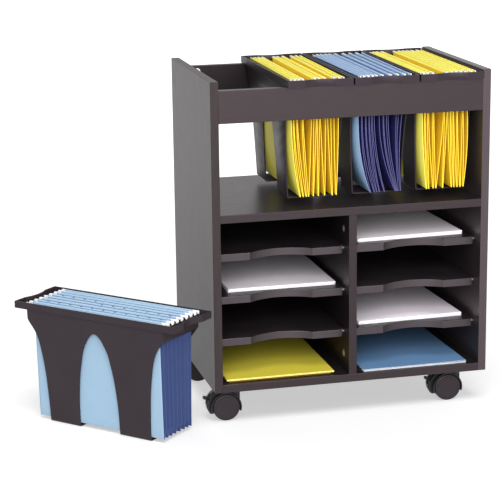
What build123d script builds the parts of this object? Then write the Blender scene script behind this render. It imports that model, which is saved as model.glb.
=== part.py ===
from build123d import *
import math
import os

os.makedirs("parts", exist_ok=True)

# ---------------------------------------------------------------- dimensions (mm)
# Frame: +X to the right along the cart's front, +Y to the back, +Z up, floor at z = 0,
# origin under the middle of the cart and the standing tub taken together.

# cabinet
WIDTH = 558.0
DEPTH = 360.0
BOARD = 16.0
PANEL_BOTTOM = 67.0
SIDE_HEIGHT = 609.0
MIDDLE_SHELF_BOTTOM = 404.5
DIVIDER_LEFT = 271.0
RAIL_BOTTOM = 596.3
RAIL_TOP = 659.0
BACK_THICK = 5.0
BACK_FRONT = 340.0
GROOVE = 5.0
EDGE_ROUND = 0.8

# knock-down fittings
CAM_RADIUS = 7.4
CAM_DEPTH = 12.4
CAM_BACKSET = 34.0
BOLT_RADIUS = 3.0
BOLT_GRIP = 10.5
DOWEL_RADIUS = 3.95
DOWEL_IN_PANEL = 10.5
DOWEL_IN_BOARD = 18.5

# letter shelves
SHELF_TOPS = {"lower": 167.1, "middle": 252.0, "top": 336.9}
SHELF_FRONT = 30.0
SHELF_BACK = 339.5
SHELF_GAP = 0.5
SHELF_PLATE = 3.0
SHELF_LIP = 14.3
SHELF_WALL = 2.6
SHELF_DIP = 22.0
PIN_RADIUS = 2.5
PIN_REACH = 7.0

# casters
CASTER_INSET_X = 49.0
CASTER_INSET_Y = 50.0
TRAIL = 20.0
WHEEL_RADIUS = 27.0
WHEEL_IN = 6.0
WHEEL_OUT = 22.0
HOOD_IN = 28.2
HOOD_OUT = 30.6
WEB_HALF = 5.3
AXLE_RADIUS = 3.0
STEM_RADIUS = 4.0

# file tubs
TUB_LENGTH = 377.0
TUB_WIDTH = 128.0
TUB_HEIGHT = 240.0
RIM_HEIGHT = 13.6
RIM_WALL = 3.0
RIM_DIP = 7.0
LEDGE = 3.0
TUB_WALL = 2.5
BODY_HALF_LENGTH = 160.5
BODY_HALF_TOP = 61.5
BODY_HALF_FOOT = 50.0
HANGER_RAIL_TOP = 235.5
TUB_PITCH = 131.5
FIRST_TUB_X = 213.25
# outline of a long side, half-width along the tub against height
SIDE_OUTLINE = [
    (160.5, 207.0),
    (155.0, 198.2),
    (147.0, 188.0),
    (139.0, 173.0),
    (132.6, 150.0),
    (128.0, 124.0),
    (124.6, 97.0),
    (122.2, 64.0),
    (120.6, 31.0),
    (120.0, 0.0),
]
ARCH = [
    (0.0, 198.0),
    (10.5, 193.0),
    (19.5, 181.0),
    (28.0, 165.0),
    (34.6, 142.0),
    (40.2, 115.0),
    (44.0, 87.0),
    (46.6, 59.0),
    (47.6, 36.0),
    (48.0, 0.0),
]
# the tub that stands on the floor: its centre in the cart's frame and its turn
FLOOR_TUB = (-186.0, 72.4)
FLOOR_TUB_TURN = -45.82

# hanging folders: length, level of the folded tops, level of the bottom folds
FOLDER_LENGTH = 298.5
FOLDER_TOP = 231.9
FOLDER_BOTTOM = 7.5
FOLD_HALF = 0.7
# levels at which a hung folder's flaps are measured on their way down to the fold
FLAP_LEVELS = [157.0, 97.0, 52.0]
# how far the outermost flap has swung in at those levels, bellied against the tub
BELLY = [0.02, 0.10, 0.33]
# the lower corners of the full folders in the standing tub
FULL_SHOULDER = 24.0
FULL_TAPER = 0.892
ROD_LENGTH = 331.0
ROD_THICK = 1.0
ROD_BOTTOM = 232.3
ROD_HEIGHT = 6.6
# each folder across the tub: its two flaps at the top, the same two at the first of the
# levels above, its bottom fold, and how its flaps curve in below (power and sideways bow)
FOLDERS_1 = [
    (-53.0, -45.4, -47.7, -43.8, -31.0, 2.0, 0.0),
    (-44.0, -37.4, -42.4, -36.8, -25.0, 1.7, 0.0),
    (-36.0, -29.4, -35.4, -26.2, -19.0, 1.5, 0.0),
    (-28.0, -5.8, -24.6, -8.2, -14.3, 1.2, 0.0),
    (-4.4, 2.2, -3.2, 2.0, -4.8, 1.0, 0.0),
    (3.6, 13.6, 3.6, 8.4, 5.3, 1.0, 0.0),
    (15.0, 32.3, 10.0, 20.5, 18.1, 1.1, 0.0),
    (33.7, 42.3, 24.6, 31.0, 33.0, 1.3, 0.0),
    (43.7, 53.0, 37.4, 46.2, 41.1, 1.6, 0.0),
]
FOLDERS_2 = [
    (-53.0, -45.2, -45.5, -39.4, -20.2, 2.3, 0.0),
    (-43.8, -36.5, -37.9, -31.4, -12.7, 2.2, 0.0),
    (-35.1, -27.5, -29.9, -24.2, -7.6, 2.1, 0.0),
    (-26.1, -19.0, -22.7, -18.9, -2.4, 2.0, 0.0),
    (-17.5, -7.0, -17.4, -13.4, 7.9, 1.9, 0.0),
    (-5.6, 10.0, -3.2, 4.2, 30.2, 2.1, 0.0),
    (11.4, 24.5, 5.7, 11.2, 33.0, 2.0, 0.0),
    (25.9, 39.0, 14.5, 30.9, 35.8, 1.4, -2.0),
    (40.4, 53.0, 35.6, 42.5, 40.9, 1.2, -4.0),
]
FOLDERS_3 = [
    (-53.0, -46.4, -46.7, -42.4, -36.7, 1.8, 0.0),
    (-45.0, -39.6, -41.0, -35.9, -32.1, 1.6, 0.0),
    (-38.2, -29.4, -33.5, -25.0, -22.8, 1.5, 0.0),
    (-28.0, -4.2, -23.2, -2.9, -17.2, 1.2, 0.0),
    (-2.8, 5.6, -1.2, 4.0, -3.3, 1.1, 0.0),
    (7.0, 14.4, 5.6, 10.4, 14.9, 1.5, 0.0),
    (15.8, 22.8, 12.0, 16.0, 20.5, 1.4, 0.0),
    (24.2, 31.6, 17.6, 24.2, 26.8, 1.4, 0.0),
    (33.0, 42.4, 25.8, 35.8, 33.1, 1.4, 0.0),
    (43.8, 53.0, 37.4, 46.2, 39.4, 2.2, 1.6),
]
FOLDERS_4 = [
    (-53.0, -42.0, -50.9, -40.4, -45.6, 1.0, 0.0),
    (-40.8, -28.2, -39.2, -27.1, -33.0, 1.0, 0.0),
    (-27.0, -14.0, -25.9, -13.5, -20.0, 1.0, 0.0),
    (-12.8, 0.4, -12.3, 0.4, -6.6, 1.0, 0.0),
    (1.6, 14.8, 1.5, 14.2, 8.0, 1.0, 0.0),
    (16.0, 28.6, 15.4, 27.5, 22.6, 1.0, 0.0),
    (29.8, 41.6, 28.6, 40.0, 35.6, 1.0, 0.0),
    (42.8, 53.0, 41.1, 50.9, 46.4, 1.0, 0.0),
]

# The cart's front left corner, from how far the standing tub reaches out to the left
# and to the front, and how far the hung tubs reach out behind.
_turn = math.radians(abs(FLOOR_TUB_TURN))
_reach_x = TUB_LENGTH / 2 * math.cos(_turn) + TUB_WIDTH / 2 * math.sin(_turn)
_reach_y = TUB_LENGTH / 2 * math.sin(_turn) + TUB_WIDTH / 2 * math.cos(_turn)
CART_X = -((FLOOR_TUB[0] - _reach_x) + WIDTH) / 2
CART_Y = -((FLOOR_TUB[1] - _reach_y) + (DEPTH + TUB_LENGTH) / 2) / 2

# paper stacks: centre across and from front to back, width, depth, thickness, turn
# (degrees), level of the support
PAPERS = {
    "paper_left_middle": (151.5, 197.5, 220.0, 279.0, 7.0, 0.0, SHELF_TOPS["middle"]),
    "paper_right_top": (409.3, 194.75, 224.0, 279.0, 7.0, 2.5, SHELF_TOPS["top"]),
    "paper_right_lower": (412.1, 194.8, 222.0, 279.0, 7.0, 2.0, SHELF_TOPS["lower"]),
    "paper_bottom_left": (134.6, 149.9, 220.0, 279.0, 7.0, 0.2, PANEL_BOTTOM + BOARD),
    "paper_bottom_right": (410.3, 147.8, 218.0, 279.0, 5.0, 0.7, PANEL_BOTTOM + BOARD),
}

MIDDLE_SHELF_TOP = MIDDLE_SHELF_BOTTOM + BOARD
INNER_LEFT = BOARD
INNER_RIGHT = WIDTH - BOARD
FLOOR_OF_BOX = PANEL_BOTTOM + BOARD
UP = (0, 0, 1)
DOWN = (0, 0, -1)
TO_RIGHT = (1, 0, 0)
TO_LEFT = (-1, 0, 0)
TO_BACK = (0, 1, 0)
TO_FRONT = (0, -1, 0)


def at(x, y, z=0.0):
    """A point given from the cart's front left corner, in the part's frame."""
    return (CART_X + x, CART_Y + y, z)


def holes(points, outward):
    """Drilling planes at the given points, facing the way the drill comes from."""
    return [Plane(origin=at(*p), z_dir=outward) for p in points]


# ---------------------------------------------------------------- where fittings sit
BOARD_LEVELS = (PANEL_BOTTOM + BOARD / 2, MIDDLE_SHELF_BOTTOM + BOARD / 2)
BOLT_YS = (92.0, 268.0)
DOWEL_YS = (142.0, 218.0)
RAIL_YS = (BOARD / 2, DEPTH - BOARD / 2)
RAIL_CAM_Z = RAIL_TOP - 12.0
RAIL_DOWEL_Z = RAIL_BOTTOM + 16.0
DIVIDER_X = DIVIDER_LEFT + BOARD / 2
DIVIDER_CAM_YS = (36.0, 300.0)
DIVIDER_DOWEL_YS = (100.0, 236.0)
PIN_YS = (39.0, 300.0)

side_bolts = [(y, z) for z in BOARD_LEVELS for y in BOLT_YS] + [(y, RAIL_CAM_Z) for y in RAIL_YS]
side_dowels = [(y, z) for z in BOARD_LEVELS for y in DOWEL_YS] + [(y, RAIL_DOWEL_Z) for y in RAIL_YS]
pin_levels = [top - SHELF_PLATE - PIN_RADIUS for top in SHELF_TOPS.values()]
pin_spots = [(y, z) for z in pin_levels for y in PIN_YS]

# ---------------------------------------------------------------- cabinet
with BuildPart() as left_side_panel:
    with BuildSketch(Plane.XY.offset(PANEL_BOTTOM)):
        with Locations(at(BOARD / 2, DEPTH / 2)[:2]):
            Rectangle(BOARD, DEPTH)
    extrude(amount=SIDE_HEIGHT)
    fillet(left_side_panel.edges(), radius=EDGE_ROUND)
    # groove for the back panel
    with BuildSketch(Plane.XY.offset(FLOOR_OF_BOX - GROOVE)):
        with Locations(at(BOARD - GROOVE / 2, BACK_FRONT + BACK_THICK / 2)[:2]):
            Rectangle(GROOVE, BACK_THICK)
    extrude(amount=MIDDLE_SHELF_BOTTOM - FLOOR_OF_BOX + 2 * GROOVE, mode=Mode.SUBTRACT)
    with Locations(*holes([(BOARD, y, z) for y, z in side_bolts], TO_RIGHT)):
        Hole(BOLT_RADIUS + 0.05, BOLT_GRIP + 0.5)
    with Locations(*holes([(BOARD, y, z) for y, z in side_dowels], TO_RIGHT)):
        Hole(DOWEL_RADIUS + 0.05, DOWEL_IN_PANEL + 0.5)
    with Locations(*holes([(BOARD, y, z) for y, z in pin_spots], TO_RIGHT)):
        Hole(PIN_RADIUS + 0.05, 8.2)
left_side_panel.part.label = "left_side_panel"
export_step(left_side_panel.part, "parts/left_side_panel.step")

with BuildPart() as right_side_panel:
    with BuildSketch(Plane.XY.offset(PANEL_BOTTOM)):
        with Locations(at(WIDTH - BOARD / 2, DEPTH / 2)[:2]):
            Rectangle(BOARD, DEPTH)
    extrude(amount=SIDE_HEIGHT)
    fillet(right_side_panel.edges(), radius=EDGE_ROUND)
    with BuildSketch(Plane.XY.offset(FLOOR_OF_BOX - GROOVE)):
        with Locations(at(INNER_RIGHT + GROOVE / 2, BACK_FRONT + BACK_THICK / 2)[:2]):
            Rectangle(GROOVE, BACK_THICK)
    extrude(amount=MIDDLE_SHELF_BOTTOM - FLOOR_OF_BOX + 2 * GROOVE, mode=Mode.SUBTRACT)
    with Locations(*holes([(INNER_RIGHT, y, z) for y, z in side_bolts], TO_LEFT)):
        Hole(BOLT_RADIUS + 0.05, BOLT_GRIP + 0.5)
    with Locations(*holes([(INNER_RIGHT, y, z) for y, z in side_dowels], TO_LEFT)):
        Hole(DOWEL_RADIUS + 0.05, DOWEL_IN_PANEL + 0.5)
    with Locations(*holes([(INNER_RIGHT, y, z) for y, z in pin_spots], TO_LEFT)):
        Hole(PIN_RADIUS + 0.05, 8.2)
right_side_panel.part.label = "right_side_panel"
export_step(right_side_panel.part, "parts/right_side_panel.step")

caster_spots = {
    "front_left": (CASTER_INSET_X, CASTER_INSET_Y),
    "front_right": (WIDTH - CASTER_INSET_X, CASTER_INSET_Y),
    "rear_left": (CASTER_INSET_X, DEPTH - CASTER_INSET_Y),
    "rear_right": (WIDTH - CASTER_INSET_X, DEPTH - CASTER_INSET_Y),
}

with BuildPart() as bottom_panel:
    with BuildSketch(Plane.XY.offset(PANEL_BOTTOM)):
        with Locations(at(WIDTH / 2, DEPTH / 2)[:2]):
            Rectangle(INNER_RIGHT - INNER_LEFT, DEPTH)
    extrude(amount=BOARD)
    fillet(bottom_panel.edges().filter_by(Axis.X), radius=EDGE_ROUND)
    # groove for the back panel, open to the top
    with BuildSketch(Plane.XY.offset(FLOOR_OF_BOX - GROOVE)):
        with Locations(at(WIDTH / 2, BACK_FRONT + BACK_THICK / 2)[:2]):
            Rectangle(INNER_RIGHT - INNER_LEFT, BACK_THICK)
    extrude(amount=GROOVE, mode=Mode.SUBTRACT)
    # end bolts, dowels and the cams let into the underside
    with Locations(*holes([(INNER_LEFT, y, BOARD_LEVELS[0]) for y in BOLT_YS], TO_LEFT)):
        Hole(BOLT_RADIUS + 0.4, CAM_BACKSET)
    with Locations(*holes([(INNER_RIGHT, y, BOARD_LEVELS[0]) for y in BOLT_YS], TO_RIGHT)):
        Hole(BOLT_RADIUS + 0.4, CAM_BACKSET)
    with Locations(*holes([(INNER_LEFT, y, BOARD_LEVELS[0]) for y in DOWEL_YS], TO_LEFT)):
        Hole(DOWEL_RADIUS + 0.05, DOWEL_IN_BOARD + 0.5)
    with Locations(*holes([(INNER_RIGHT, y, BOARD_LEVELS[0]) for y in DOWEL_YS], TO_RIGHT)):
        Hole(DOWEL_RADIUS + 0.05, DOWEL_IN_BOARD + 0.5)
    with Locations(
        *holes(
            [(x, y, PANEL_BOTTOM) for x in (INNER_LEFT + CAM_BACKSET, INNER_RIGHT - CAM_BACKSET) for y in BOLT_YS],
            DOWN,
        )
    ):
        Hole(CAM_RADIUS + 0.1, CAM_DEPTH + 0.1)
    # divider bolts and dowels from above, caster inserts from below
    with Locations(*holes([(DIVIDER_X, y, FLOOR_OF_BOX) for y in DIVIDER_CAM_YS], UP)):
        Hole(BOLT_RADIUS + 0.05, BOLT_GRIP + 0.5)
    with Locations(*holes([(DIVIDER_X, y, FLOOR_OF_BOX) for y in DIVIDER_DOWEL_YS], UP)):
        Hole(DOWEL_RADIUS + 0.05, DOWEL_IN_PANEL + 0.5)
    with Locations(*holes([(x, y, PANEL_BOTTOM) for x, y in caster_spots.values()], DOWN)):
        Hole(6.05, 14.0)
bottom_panel.part.label = "bottom_panel"
export_step(bottom_panel.part, "parts/bottom_panel.step")

with BuildPart() as middle_shelf:
    with BuildSketch(Plane.XY.offset(MIDDLE_SHELF_BOTTOM)):
        with Locations(at(WIDTH / 2, DEPTH / 2)[:2]):
            Rectangle(INNER_RIGHT - INNER_LEFT, DEPTH)
    extrude(amount=BOARD)
    fillet(middle_shelf.edges().filter_by(Axis.X), radius=EDGE_ROUND)
    with BuildSketch(Plane.XY.offset(MIDDLE_SHELF_BOTTOM)):
        with Locations(at(WIDTH / 2, BACK_FRONT + BACK_THICK / 2)[:2]):
            Rectangle(INNER_RIGHT - INNER_LEFT, BACK_THICK)
    extrude(amount=GROOVE, mode=Mode.SUBTRACT)
    with Locations(*holes([(INNER_LEFT, y, BOARD_LEVELS[1]) for y in BOLT_YS], TO_LEFT)):
        Hole(BOLT_RADIUS + 0.4, CAM_BACKSET)
    with Locations(*holes([(INNER_RIGHT, y, BOARD_LEVELS[1]) for y in BOLT_YS], TO_RIGHT)):
        Hole(BOLT_RADIUS + 0.4, CAM_BACKSET)
    with Locations(*holes([(INNER_LEFT, y, BOARD_LEVELS[1]) for y in DOWEL_YS], TO_LEFT)):
        Hole(DOWEL_RADIUS + 0.05, DOWEL_IN_BOARD + 0.5)
    with Locations(*holes([(INNER_RIGHT, y, BOARD_LEVELS[1]) for y in DOWEL_YS], TO_RIGHT)):
        Hole(DOWEL_RADIUS + 0.05, DOWEL_IN_BOARD + 0.5)
    with Locations(
        *holes(
            [
                (x, y, MIDDLE_SHELF_BOTTOM)
                for x in (INNER_LEFT + CAM_BACKSET, INNER_RIGHT - CAM_BACKSET)
                for y in BOLT_YS
            ],
            DOWN,
        )
    ):
        Hole(CAM_RADIUS + 0.1, CAM_DEPTH + 0.1)
    with Locations(*holes([(DIVIDER_X, y, MIDDLE_SHELF_BOTTOM) for y in DIVIDER_CAM_YS], DOWN)):
        Hole(BOLT_RADIUS + 0.05, BOLT_GRIP + 0.5)
    with Locations(*holes([(DIVIDER_X, y, MIDDLE_SHELF_BOTTOM) for y in DIVIDER_DOWEL_YS], DOWN)):
        Hole(DOWEL_RADIUS + 0.05, DOWEL_IN_PANEL + 0.5)
middle_shelf.part.label = "middle_shelf"
export_step(middle_shelf.part, "parts/middle_shelf.step")

with BuildPart() as centre_divider:
    with BuildSketch(Plane.XY.offset(FLOOR_OF_BOX)):
        with Locations(at(DIVIDER_X, BACK_FRONT / 2)[:2]):
            Rectangle(BOARD, BACK_FRONT)
    extrude(amount=MIDDLE_SHELF_BOTTOM - FLOOR_OF_BOX)
    fillet(centre_divider.edges().filter_by(Axis.Z).group_by(Axis.Y)[0], radius=EDGE_ROUND)
    # cams in the left face, bolts and dowels in the two ends
    with Locations(
        *holes(
            [
                (DIVIDER_LEFT, y, z)
                for y in DIVIDER_CAM_YS
                for z in (FLOOR_OF_BOX + CAM_BACKSET, MIDDLE_SHELF_BOTTOM - CAM_BACKSET)
            ],
            TO_LEFT,
        )
    ):
        Hole(CAM_RADIUS + 0.1, CAM_DEPTH + 0.1)
    with Locations(*holes([(DIVIDER_X, y, FLOOR_OF_BOX) for y in DIVIDER_CAM_YS], DOWN)):
        Hole(BOLT_RADIUS + 0.4, CAM_BACKSET)
    with Locations(*holes([(DIVIDER_X, y, MIDDLE_SHELF_BOTTOM) for y in DIVIDER_CAM_YS], UP)):
        Hole(BOLT_RADIUS + 0.4, CAM_BACKSET)
    with Locations(*holes([(DIVIDER_X, y, FLOOR_OF_BOX) for y in DIVIDER_DOWEL_YS], DOWN)):
        Hole(DOWEL_RADIUS + 0.05, DOWEL_IN_BOARD + 0.5)
    with Locations(*holes([(DIVIDER_X, y, MIDDLE_SHELF_BOTTOM) for y in DIVIDER_DOWEL_YS], UP)):
        Hole(DOWEL_RADIUS + 0.05, DOWEL_IN_BOARD + 0.5)
    # pin holes from each face, at heights that leave the wood between them whole
    with Locations(*holes([(DIVIDER_LEFT, y, z) for y, z in pin_spots], TO_LEFT)):
        Hole(PIN_RADIUS + 0.05, 7.5)
    with Locations(*holes([(DIVIDER_LEFT + BOARD, y, z) for y, z in pin_spots], TO_RIGHT)):
        Hole(PIN_RADIUS + 0.05, 7.5)
centre_divider.part.label = "centre_divider"
export_step(centre_divider.part, "parts/centre_divider.step")

with BuildPart() as back_panel:
    with BuildSketch(Plane.XY.offset(FLOOR_OF_BOX - GROOVE + 0.3)):
        with Locations(at(WIDTH / 2, BACK_FRONT + BACK_THICK / 2)[:2]):
            Rectangle(INNER_RIGHT - INNER_LEFT + 2 * GROOVE - 0.6, BACK_THICK - 0.1)
    extrude(amount=MIDDLE_SHELF_BOTTOM - FLOOR_OF_BOX + 2 * GROOVE - 0.6)
back_panel.part.label = "back_panel"
export_step(back_panel.part, "parts/back_panel.step")

with BuildPart() as front_rail:
    with BuildSketch(Plane.XY.offset(RAIL_BOTTOM)):
        with Locations(at(WIDTH / 2, BOARD / 2)[:2]):
            Rectangle(INNER_RIGHT - INNER_LEFT, BOARD)
    extrude(amount=RAIL_TOP - RAIL_BOTTOM)
    fillet(front_rail.edges().filter_by(Axis.X), radius=EDGE_ROUND)
    with Locations(*holes([(INNER_LEFT + CAM_BACKSET, BOARD, RAIL_CAM_Z), (INNER_RIGHT - CAM_BACKSET, BOARD, RAIL_CAM_Z)], TO_BACK)):
        Hole(CAM_RADIUS + 0.1, CAM_DEPTH + 0.1)
    with Locations(*holes([(INNER_LEFT, RAIL_YS[0], RAIL_CAM_Z)], TO_LEFT)):
        Hole(BOLT_RADIUS + 0.4, CAM_BACKSET)
    with Locations(*holes([(INNER_RIGHT, RAIL_YS[0], RAIL_CAM_Z)], TO_RIGHT)):
        Hole(BOLT_RADIUS + 0.4, CAM_BACKSET)
    with Locations(*holes([(INNER_LEFT, RAIL_YS[0], RAIL_DOWEL_Z)], TO_LEFT)):
        Hole(DOWEL_RADIUS + 0.05, DOWEL_IN_BOARD + 0.5)
    with Locations(*holes([(INNER_RIGHT, RAIL_YS[0], RAIL_DOWEL_Z)], TO_RIGHT)):
        Hole(DOWEL_RADIUS + 0.05, DOWEL_IN_BOARD + 0.5)
front_rail.part.label = "front_rail"
export_step(front_rail.part, "parts/front_rail.step")

with BuildPart() as rear_rail:
    with BuildSketch(Plane.XY.offset(RAIL_BOTTOM)):
        with Locations(at(WIDTH / 2, DEPTH - BOARD / 2)[:2]):
            Rectangle(INNER_RIGHT - INNER_LEFT, BOARD)
    extrude(amount=RAIL_TOP - RAIL_BOTTOM)
    fillet(rear_rail.edges().filter_by(Axis.X), radius=EDGE_ROUND)
    with Locations(
        *holes(
            [(INNER_LEFT + CAM_BACKSET, DEPTH - BOARD, RAIL_CAM_Z), (INNER_RIGHT - CAM_BACKSET, DEPTH - BOARD, RAIL_CAM_Z)],
            TO_FRONT,
        )
    ):
        Hole(CAM_RADIUS + 0.1, CAM_DEPTH + 0.1)
    with Locations(*holes([(INNER_LEFT, RAIL_YS[1], RAIL_CAM_Z)], TO_LEFT)):
        Hole(BOLT_RADIUS + 0.4, CAM_BACKSET)
    with Locations(*holes([(INNER_RIGHT, RAIL_YS[1], RAIL_CAM_Z)], TO_RIGHT)):
        Hole(BOLT_RADIUS + 0.4, CAM_BACKSET)
    with Locations(*holes([(INNER_LEFT, RAIL_YS[1], RAIL_DOWEL_Z)], TO_LEFT)):
        Hole(DOWEL_RADIUS + 0.05, DOWEL_IN_BOARD + 0.5)
    with Locations(*holes([(INNER_RIGHT, RAIL_YS[1], RAIL_DOWEL_Z)], TO_RIGHT)):
        Hole(DOWEL_RADIUS + 0.05, DOWEL_IN_BOARD + 0.5)
rear_rail.part.label = "rear_rail"
export_step(rear_rail.part, "parts/rear_rail.step")

# ---------------------------------------------------------------- fittings
# A cam lock is a short disc with a screwdriver cross in its face.
cam_planes = (
    holes([(x, y, z) for z in (PANEL_BOTTOM, MIDDLE_SHELF_BOTTOM) for x in (INNER_LEFT + CAM_BACKSET, INNER_RIGHT - CAM_BACKSET) for y in BOLT_YS], DOWN)
    + holes(
        [(DIVIDER_LEFT, y, z) for y in DIVIDER_CAM_YS for z in (FLOOR_OF_BOX + CAM_BACKSET, MIDDLE_SHELF_BOTTOM - CAM_BACKSET)],
        TO_LEFT,
    )
    + holes([(x, BOARD, RAIL_CAM_Z) for x in (INNER_LEFT + CAM_BACKSET, INNER_RIGHT - CAM_BACKSET)], TO_BACK)
    + holes([(x, DEPTH - BOARD, RAIL_CAM_Z) for x in (INNER_LEFT + CAM_BACKSET, INNER_RIGHT - CAM_BACKSET)], TO_FRONT)
)
with BuildPart() as cam_locks:
    with Locations(*[p.offset(-0.2) for p in cam_planes]):
        Cylinder(CAM_RADIUS, CAM_DEPTH - 0.3, align=(Align.CENTER, Align.CENTER, Align.MAX))
    with Locations(*[p.offset(-0.2) for p in cam_planes]):
        Box(8.0, 1.6, 1.8, align=(Align.CENTER, Align.CENTER, Align.MAX), mode=Mode.SUBTRACT)
        Box(1.6, 8.0, 1.8, align=(Align.CENTER, Align.CENTER, Align.MAX), mode=Mode.SUBTRACT)
cam_locks.part.label = "cam_locks"
export_step(cam_locks.part, "parts/cam_locks.step")

# A cam bolt screws into one board and runs in the other as far as the cam.
bolt_planes = (
    holes([(INNER_LEFT, y, z) for y, z in side_bolts], TO_RIGHT)
    + holes([(INNER_RIGHT, y, z) for y, z in side_bolts], TO_LEFT)
    + holes([(DIVIDER_X, y, FLOOR_OF_BOX) for y in DIVIDER_CAM_YS], UP)
    + holes([(DIVIDER_X, y, MIDDLE_SHELF_BOTTOM) for y in DIVIDER_CAM_YS], DOWN)
)
with BuildPart() as cam_bolts:
    with Locations(*[p.offset(-BOLT_GRIP) for p in bolt_planes]):
        Cylinder(
            BOLT_RADIUS,
            BOLT_GRIP + CAM_BACKSET - CAM_RADIUS - 0.4,
            align=(Align.CENTER, Align.CENTER, Align.MIN),
        )
cam_bolts.part.label = "cam_bolts"
export_step(cam_bolts.part, "parts/cam_bolts.step")

dowel_planes = (
    holes([(INNER_LEFT, y, z) for y, z in side_dowels], TO_RIGHT)
    + holes([(INNER_RIGHT, y, z) for y, z in side_dowels], TO_LEFT)
    + holes([(DIVIDER_X, y, FLOOR_OF_BOX) for y in DIVIDER_DOWEL_YS], UP)
    + holes([(DIVIDER_X, y, MIDDLE_SHELF_BOTTOM) for y in DIVIDER_DOWEL_YS], DOWN)
)
with BuildPart() as dowels:
    with Locations(*[p.offset(-DOWEL_IN_PANEL) for p in dowel_planes]):
        Cylinder(
            DOWEL_RADIUS, DOWEL_IN_PANEL + DOWEL_IN_BOARD, align=(Align.CENTER, Align.CENTER, Align.MIN)
        )
dowels.part.label = "dowels"
export_step(dowels.part, "parts/dowels.step")

# Shelf pins: half in the board, half under the shelf's plate.
pin_planes = (
    holes([(INNER_LEFT, y, z) for y, z in pin_spots], TO_RIGHT)
    + holes([(DIVIDER_LEFT + BOARD, y, z) for y, z in pin_spots], TO_RIGHT)
    + holes([(DIVIDER_LEFT, y, z) for y, z in pin_spots], TO_LEFT)
    + holes([(INNER_RIGHT, y, z) for y, z in pin_spots], TO_LEFT)
)
with BuildPart() as shelf_pins:
    with Locations(*[p.offset(-7.0) for p in pin_planes]):
        Cylinder(PIN_RADIUS, 7.0 + PIN_REACH, align=(Align.CENTER, Align.CENTER, Align.MIN))
shelf_pins.part.label = "shelf_pins"
export_step(shelf_pins.part, "parts/shelf_pins.step")


# ---------------------------------------------------------------- letter shelves
def letter_shelf(left, top):
    """A moulded tray: flat plate, skirt all round, and a front lip that dips inwards."""
    wide = DIVIDER_LEFT - INNER_LEFT - 2 * SHELF_GAP
    x0 = CART_X + left + SHELF_GAP
    yf = CART_Y + SHELF_FRONT
    yb = CART_Y + SHELF_BACK
    dip_0, dip_1 = x0 + 0.25 * wide, x0 + 0.745 * wide
    with BuildPart() as tray:
        with BuildSketch(Plane.XY.offset(top - SHELF_LIP)):
            with BuildLine():
                Polyline((x0 + wide, yf), (x0 + wide, yb), (x0, yb), (x0, yf), (dip_0, yf))
                ThreePointArc((dip_0, yf), ((dip_0 + dip_1) / 2, yf + SHELF_DIP), (dip_1, yf))
                Line((dip_1, yf), (x0 + wide, yf))
            make_face()
        extrude(amount=SHELF_LIP)
        fillet(
            tray.edges().filter_by(lambda e: e.center().Z > top - 0.1 and e.center().Y < yf + SHELF_DIP + 1 and abs(e.center().X - x0) > 1 and abs(e.center().X - x0 - wide) > 1),
            radius=0.8,
        )
        # hollow underside
        with BuildSketch(Plane.XY.offset(top - SHELF_LIP)):
            with BuildLine():
                Polyline((x0 + wide, yf), (x0 + wide, yb), (x0, yb), (x0, yf), (dip_0, yf))
                ThreePointArc((dip_0, yf), ((dip_0 + dip_1) / 2, yf + SHELF_DIP), (dip_1, yf))
                Line((dip_1, yf), (x0 + wide, yf))
            make_face()
            offset(amount=-SHELF_WALL, kind=Kind.INTERSECTION, mode=Mode.REPLACE)
        extrude(amount=SHELF_LIP - SHELF_PLATE, mode=Mode.SUBTRACT)
        # stiffening ribs front to back
        with BuildSketch(Plane.XY.offset(top - SHELF_PLATE - 6.0)):
            for i in range(1, 5):
                with Locations((x0 + wide * i / 5, yf + 178.0)):
                    Rectangle(1.8, 240.0)
        extrude(amount=6.0)
        # room for the shelf pins through the skirt
        with BuildSketch(Plane.XY.offset(top - SHELF_LIP)):
            for y in PIN_YS:
                for x in (x0, x0 + wide):
                    with Locations((x, CART_Y + y)):
                        Rectangle(2 * (PIN_REACH + 0.3), 2 * (PIN_RADIUS + 0.35))
        extrude(amount=SHELF_LIP - SHELF_PLATE, mode=Mode.SUBTRACT)
        # the lip's two ends stand clear of the boards
        with BuildSketch(Plane.XY.offset(top - SHELF_LIP)):
            for x in (x0, x0 + wide):
                with Locations((x, yf)):
                    Rectangle(9.0, 17.0)
        extrude(amount=SHELF_LIP, mode=Mode.SUBTRACT)
    return tray.part


for side, left in (("left", INNER_LEFT), ("right", DIVIDER_LEFT + BOARD)):
    for level, top in SHELF_TOPS.items():
        name = f"letter_shelf_{side}_{level}"
        shelf = letter_shelf(left, top)
        shelf.label = name
        export_step(shelf, f"parts/{name}.step")

# ---------------------------------------------------------------- casters
insert_planes = holes([(x, y, PANEL_BOTTOM) for x, y in caster_spots.values()], UP)
with BuildPart() as caster_inserts:
    with Locations(*insert_planes):
        Cylinder(6.0, 13.5, align=(Align.CENTER, Align.CENTER, Align.MIN))
        Cylinder(STEM_RADIUS + 0.05, 13.5, align=(Align.CENTER, Align.CENTER, Align.MIN), mode=Mode.SUBTRACT)
caster_inserts.part.label = "caster_inserts"
export_step(caster_inserts.part, "parts/caster_inserts.step")

with BuildPart() as caster_stems:
    with Locations(*[p.offset(-25.5) for p in insert_planes]):
        Cylinder(STEM_RADIUS, 25.5 + 13.0, align=(Align.CENTER, Align.CENTER, Align.MIN))
    # hexagonal collar under the panel
    with BuildSketch(Plane.XY.offset(PANEL_BOTTOM - 4.2)):
        with Locations(*[at(x, y)[:2] for x, y in caster_spots.values()]):
            RegularPolygon(7.5, 6)
    extrude(amount=4.0)
caster_stems.part.label = "caster_stems"
export_step(caster_stems.part, "parts/caster_stems.step")

HOOD_TOP = PANEL_BOTTOM - 4.6
LEVER_PIVOT = (-47.0, 40.0)
LEVER_TIP = (-60.5, 44.6)


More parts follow.
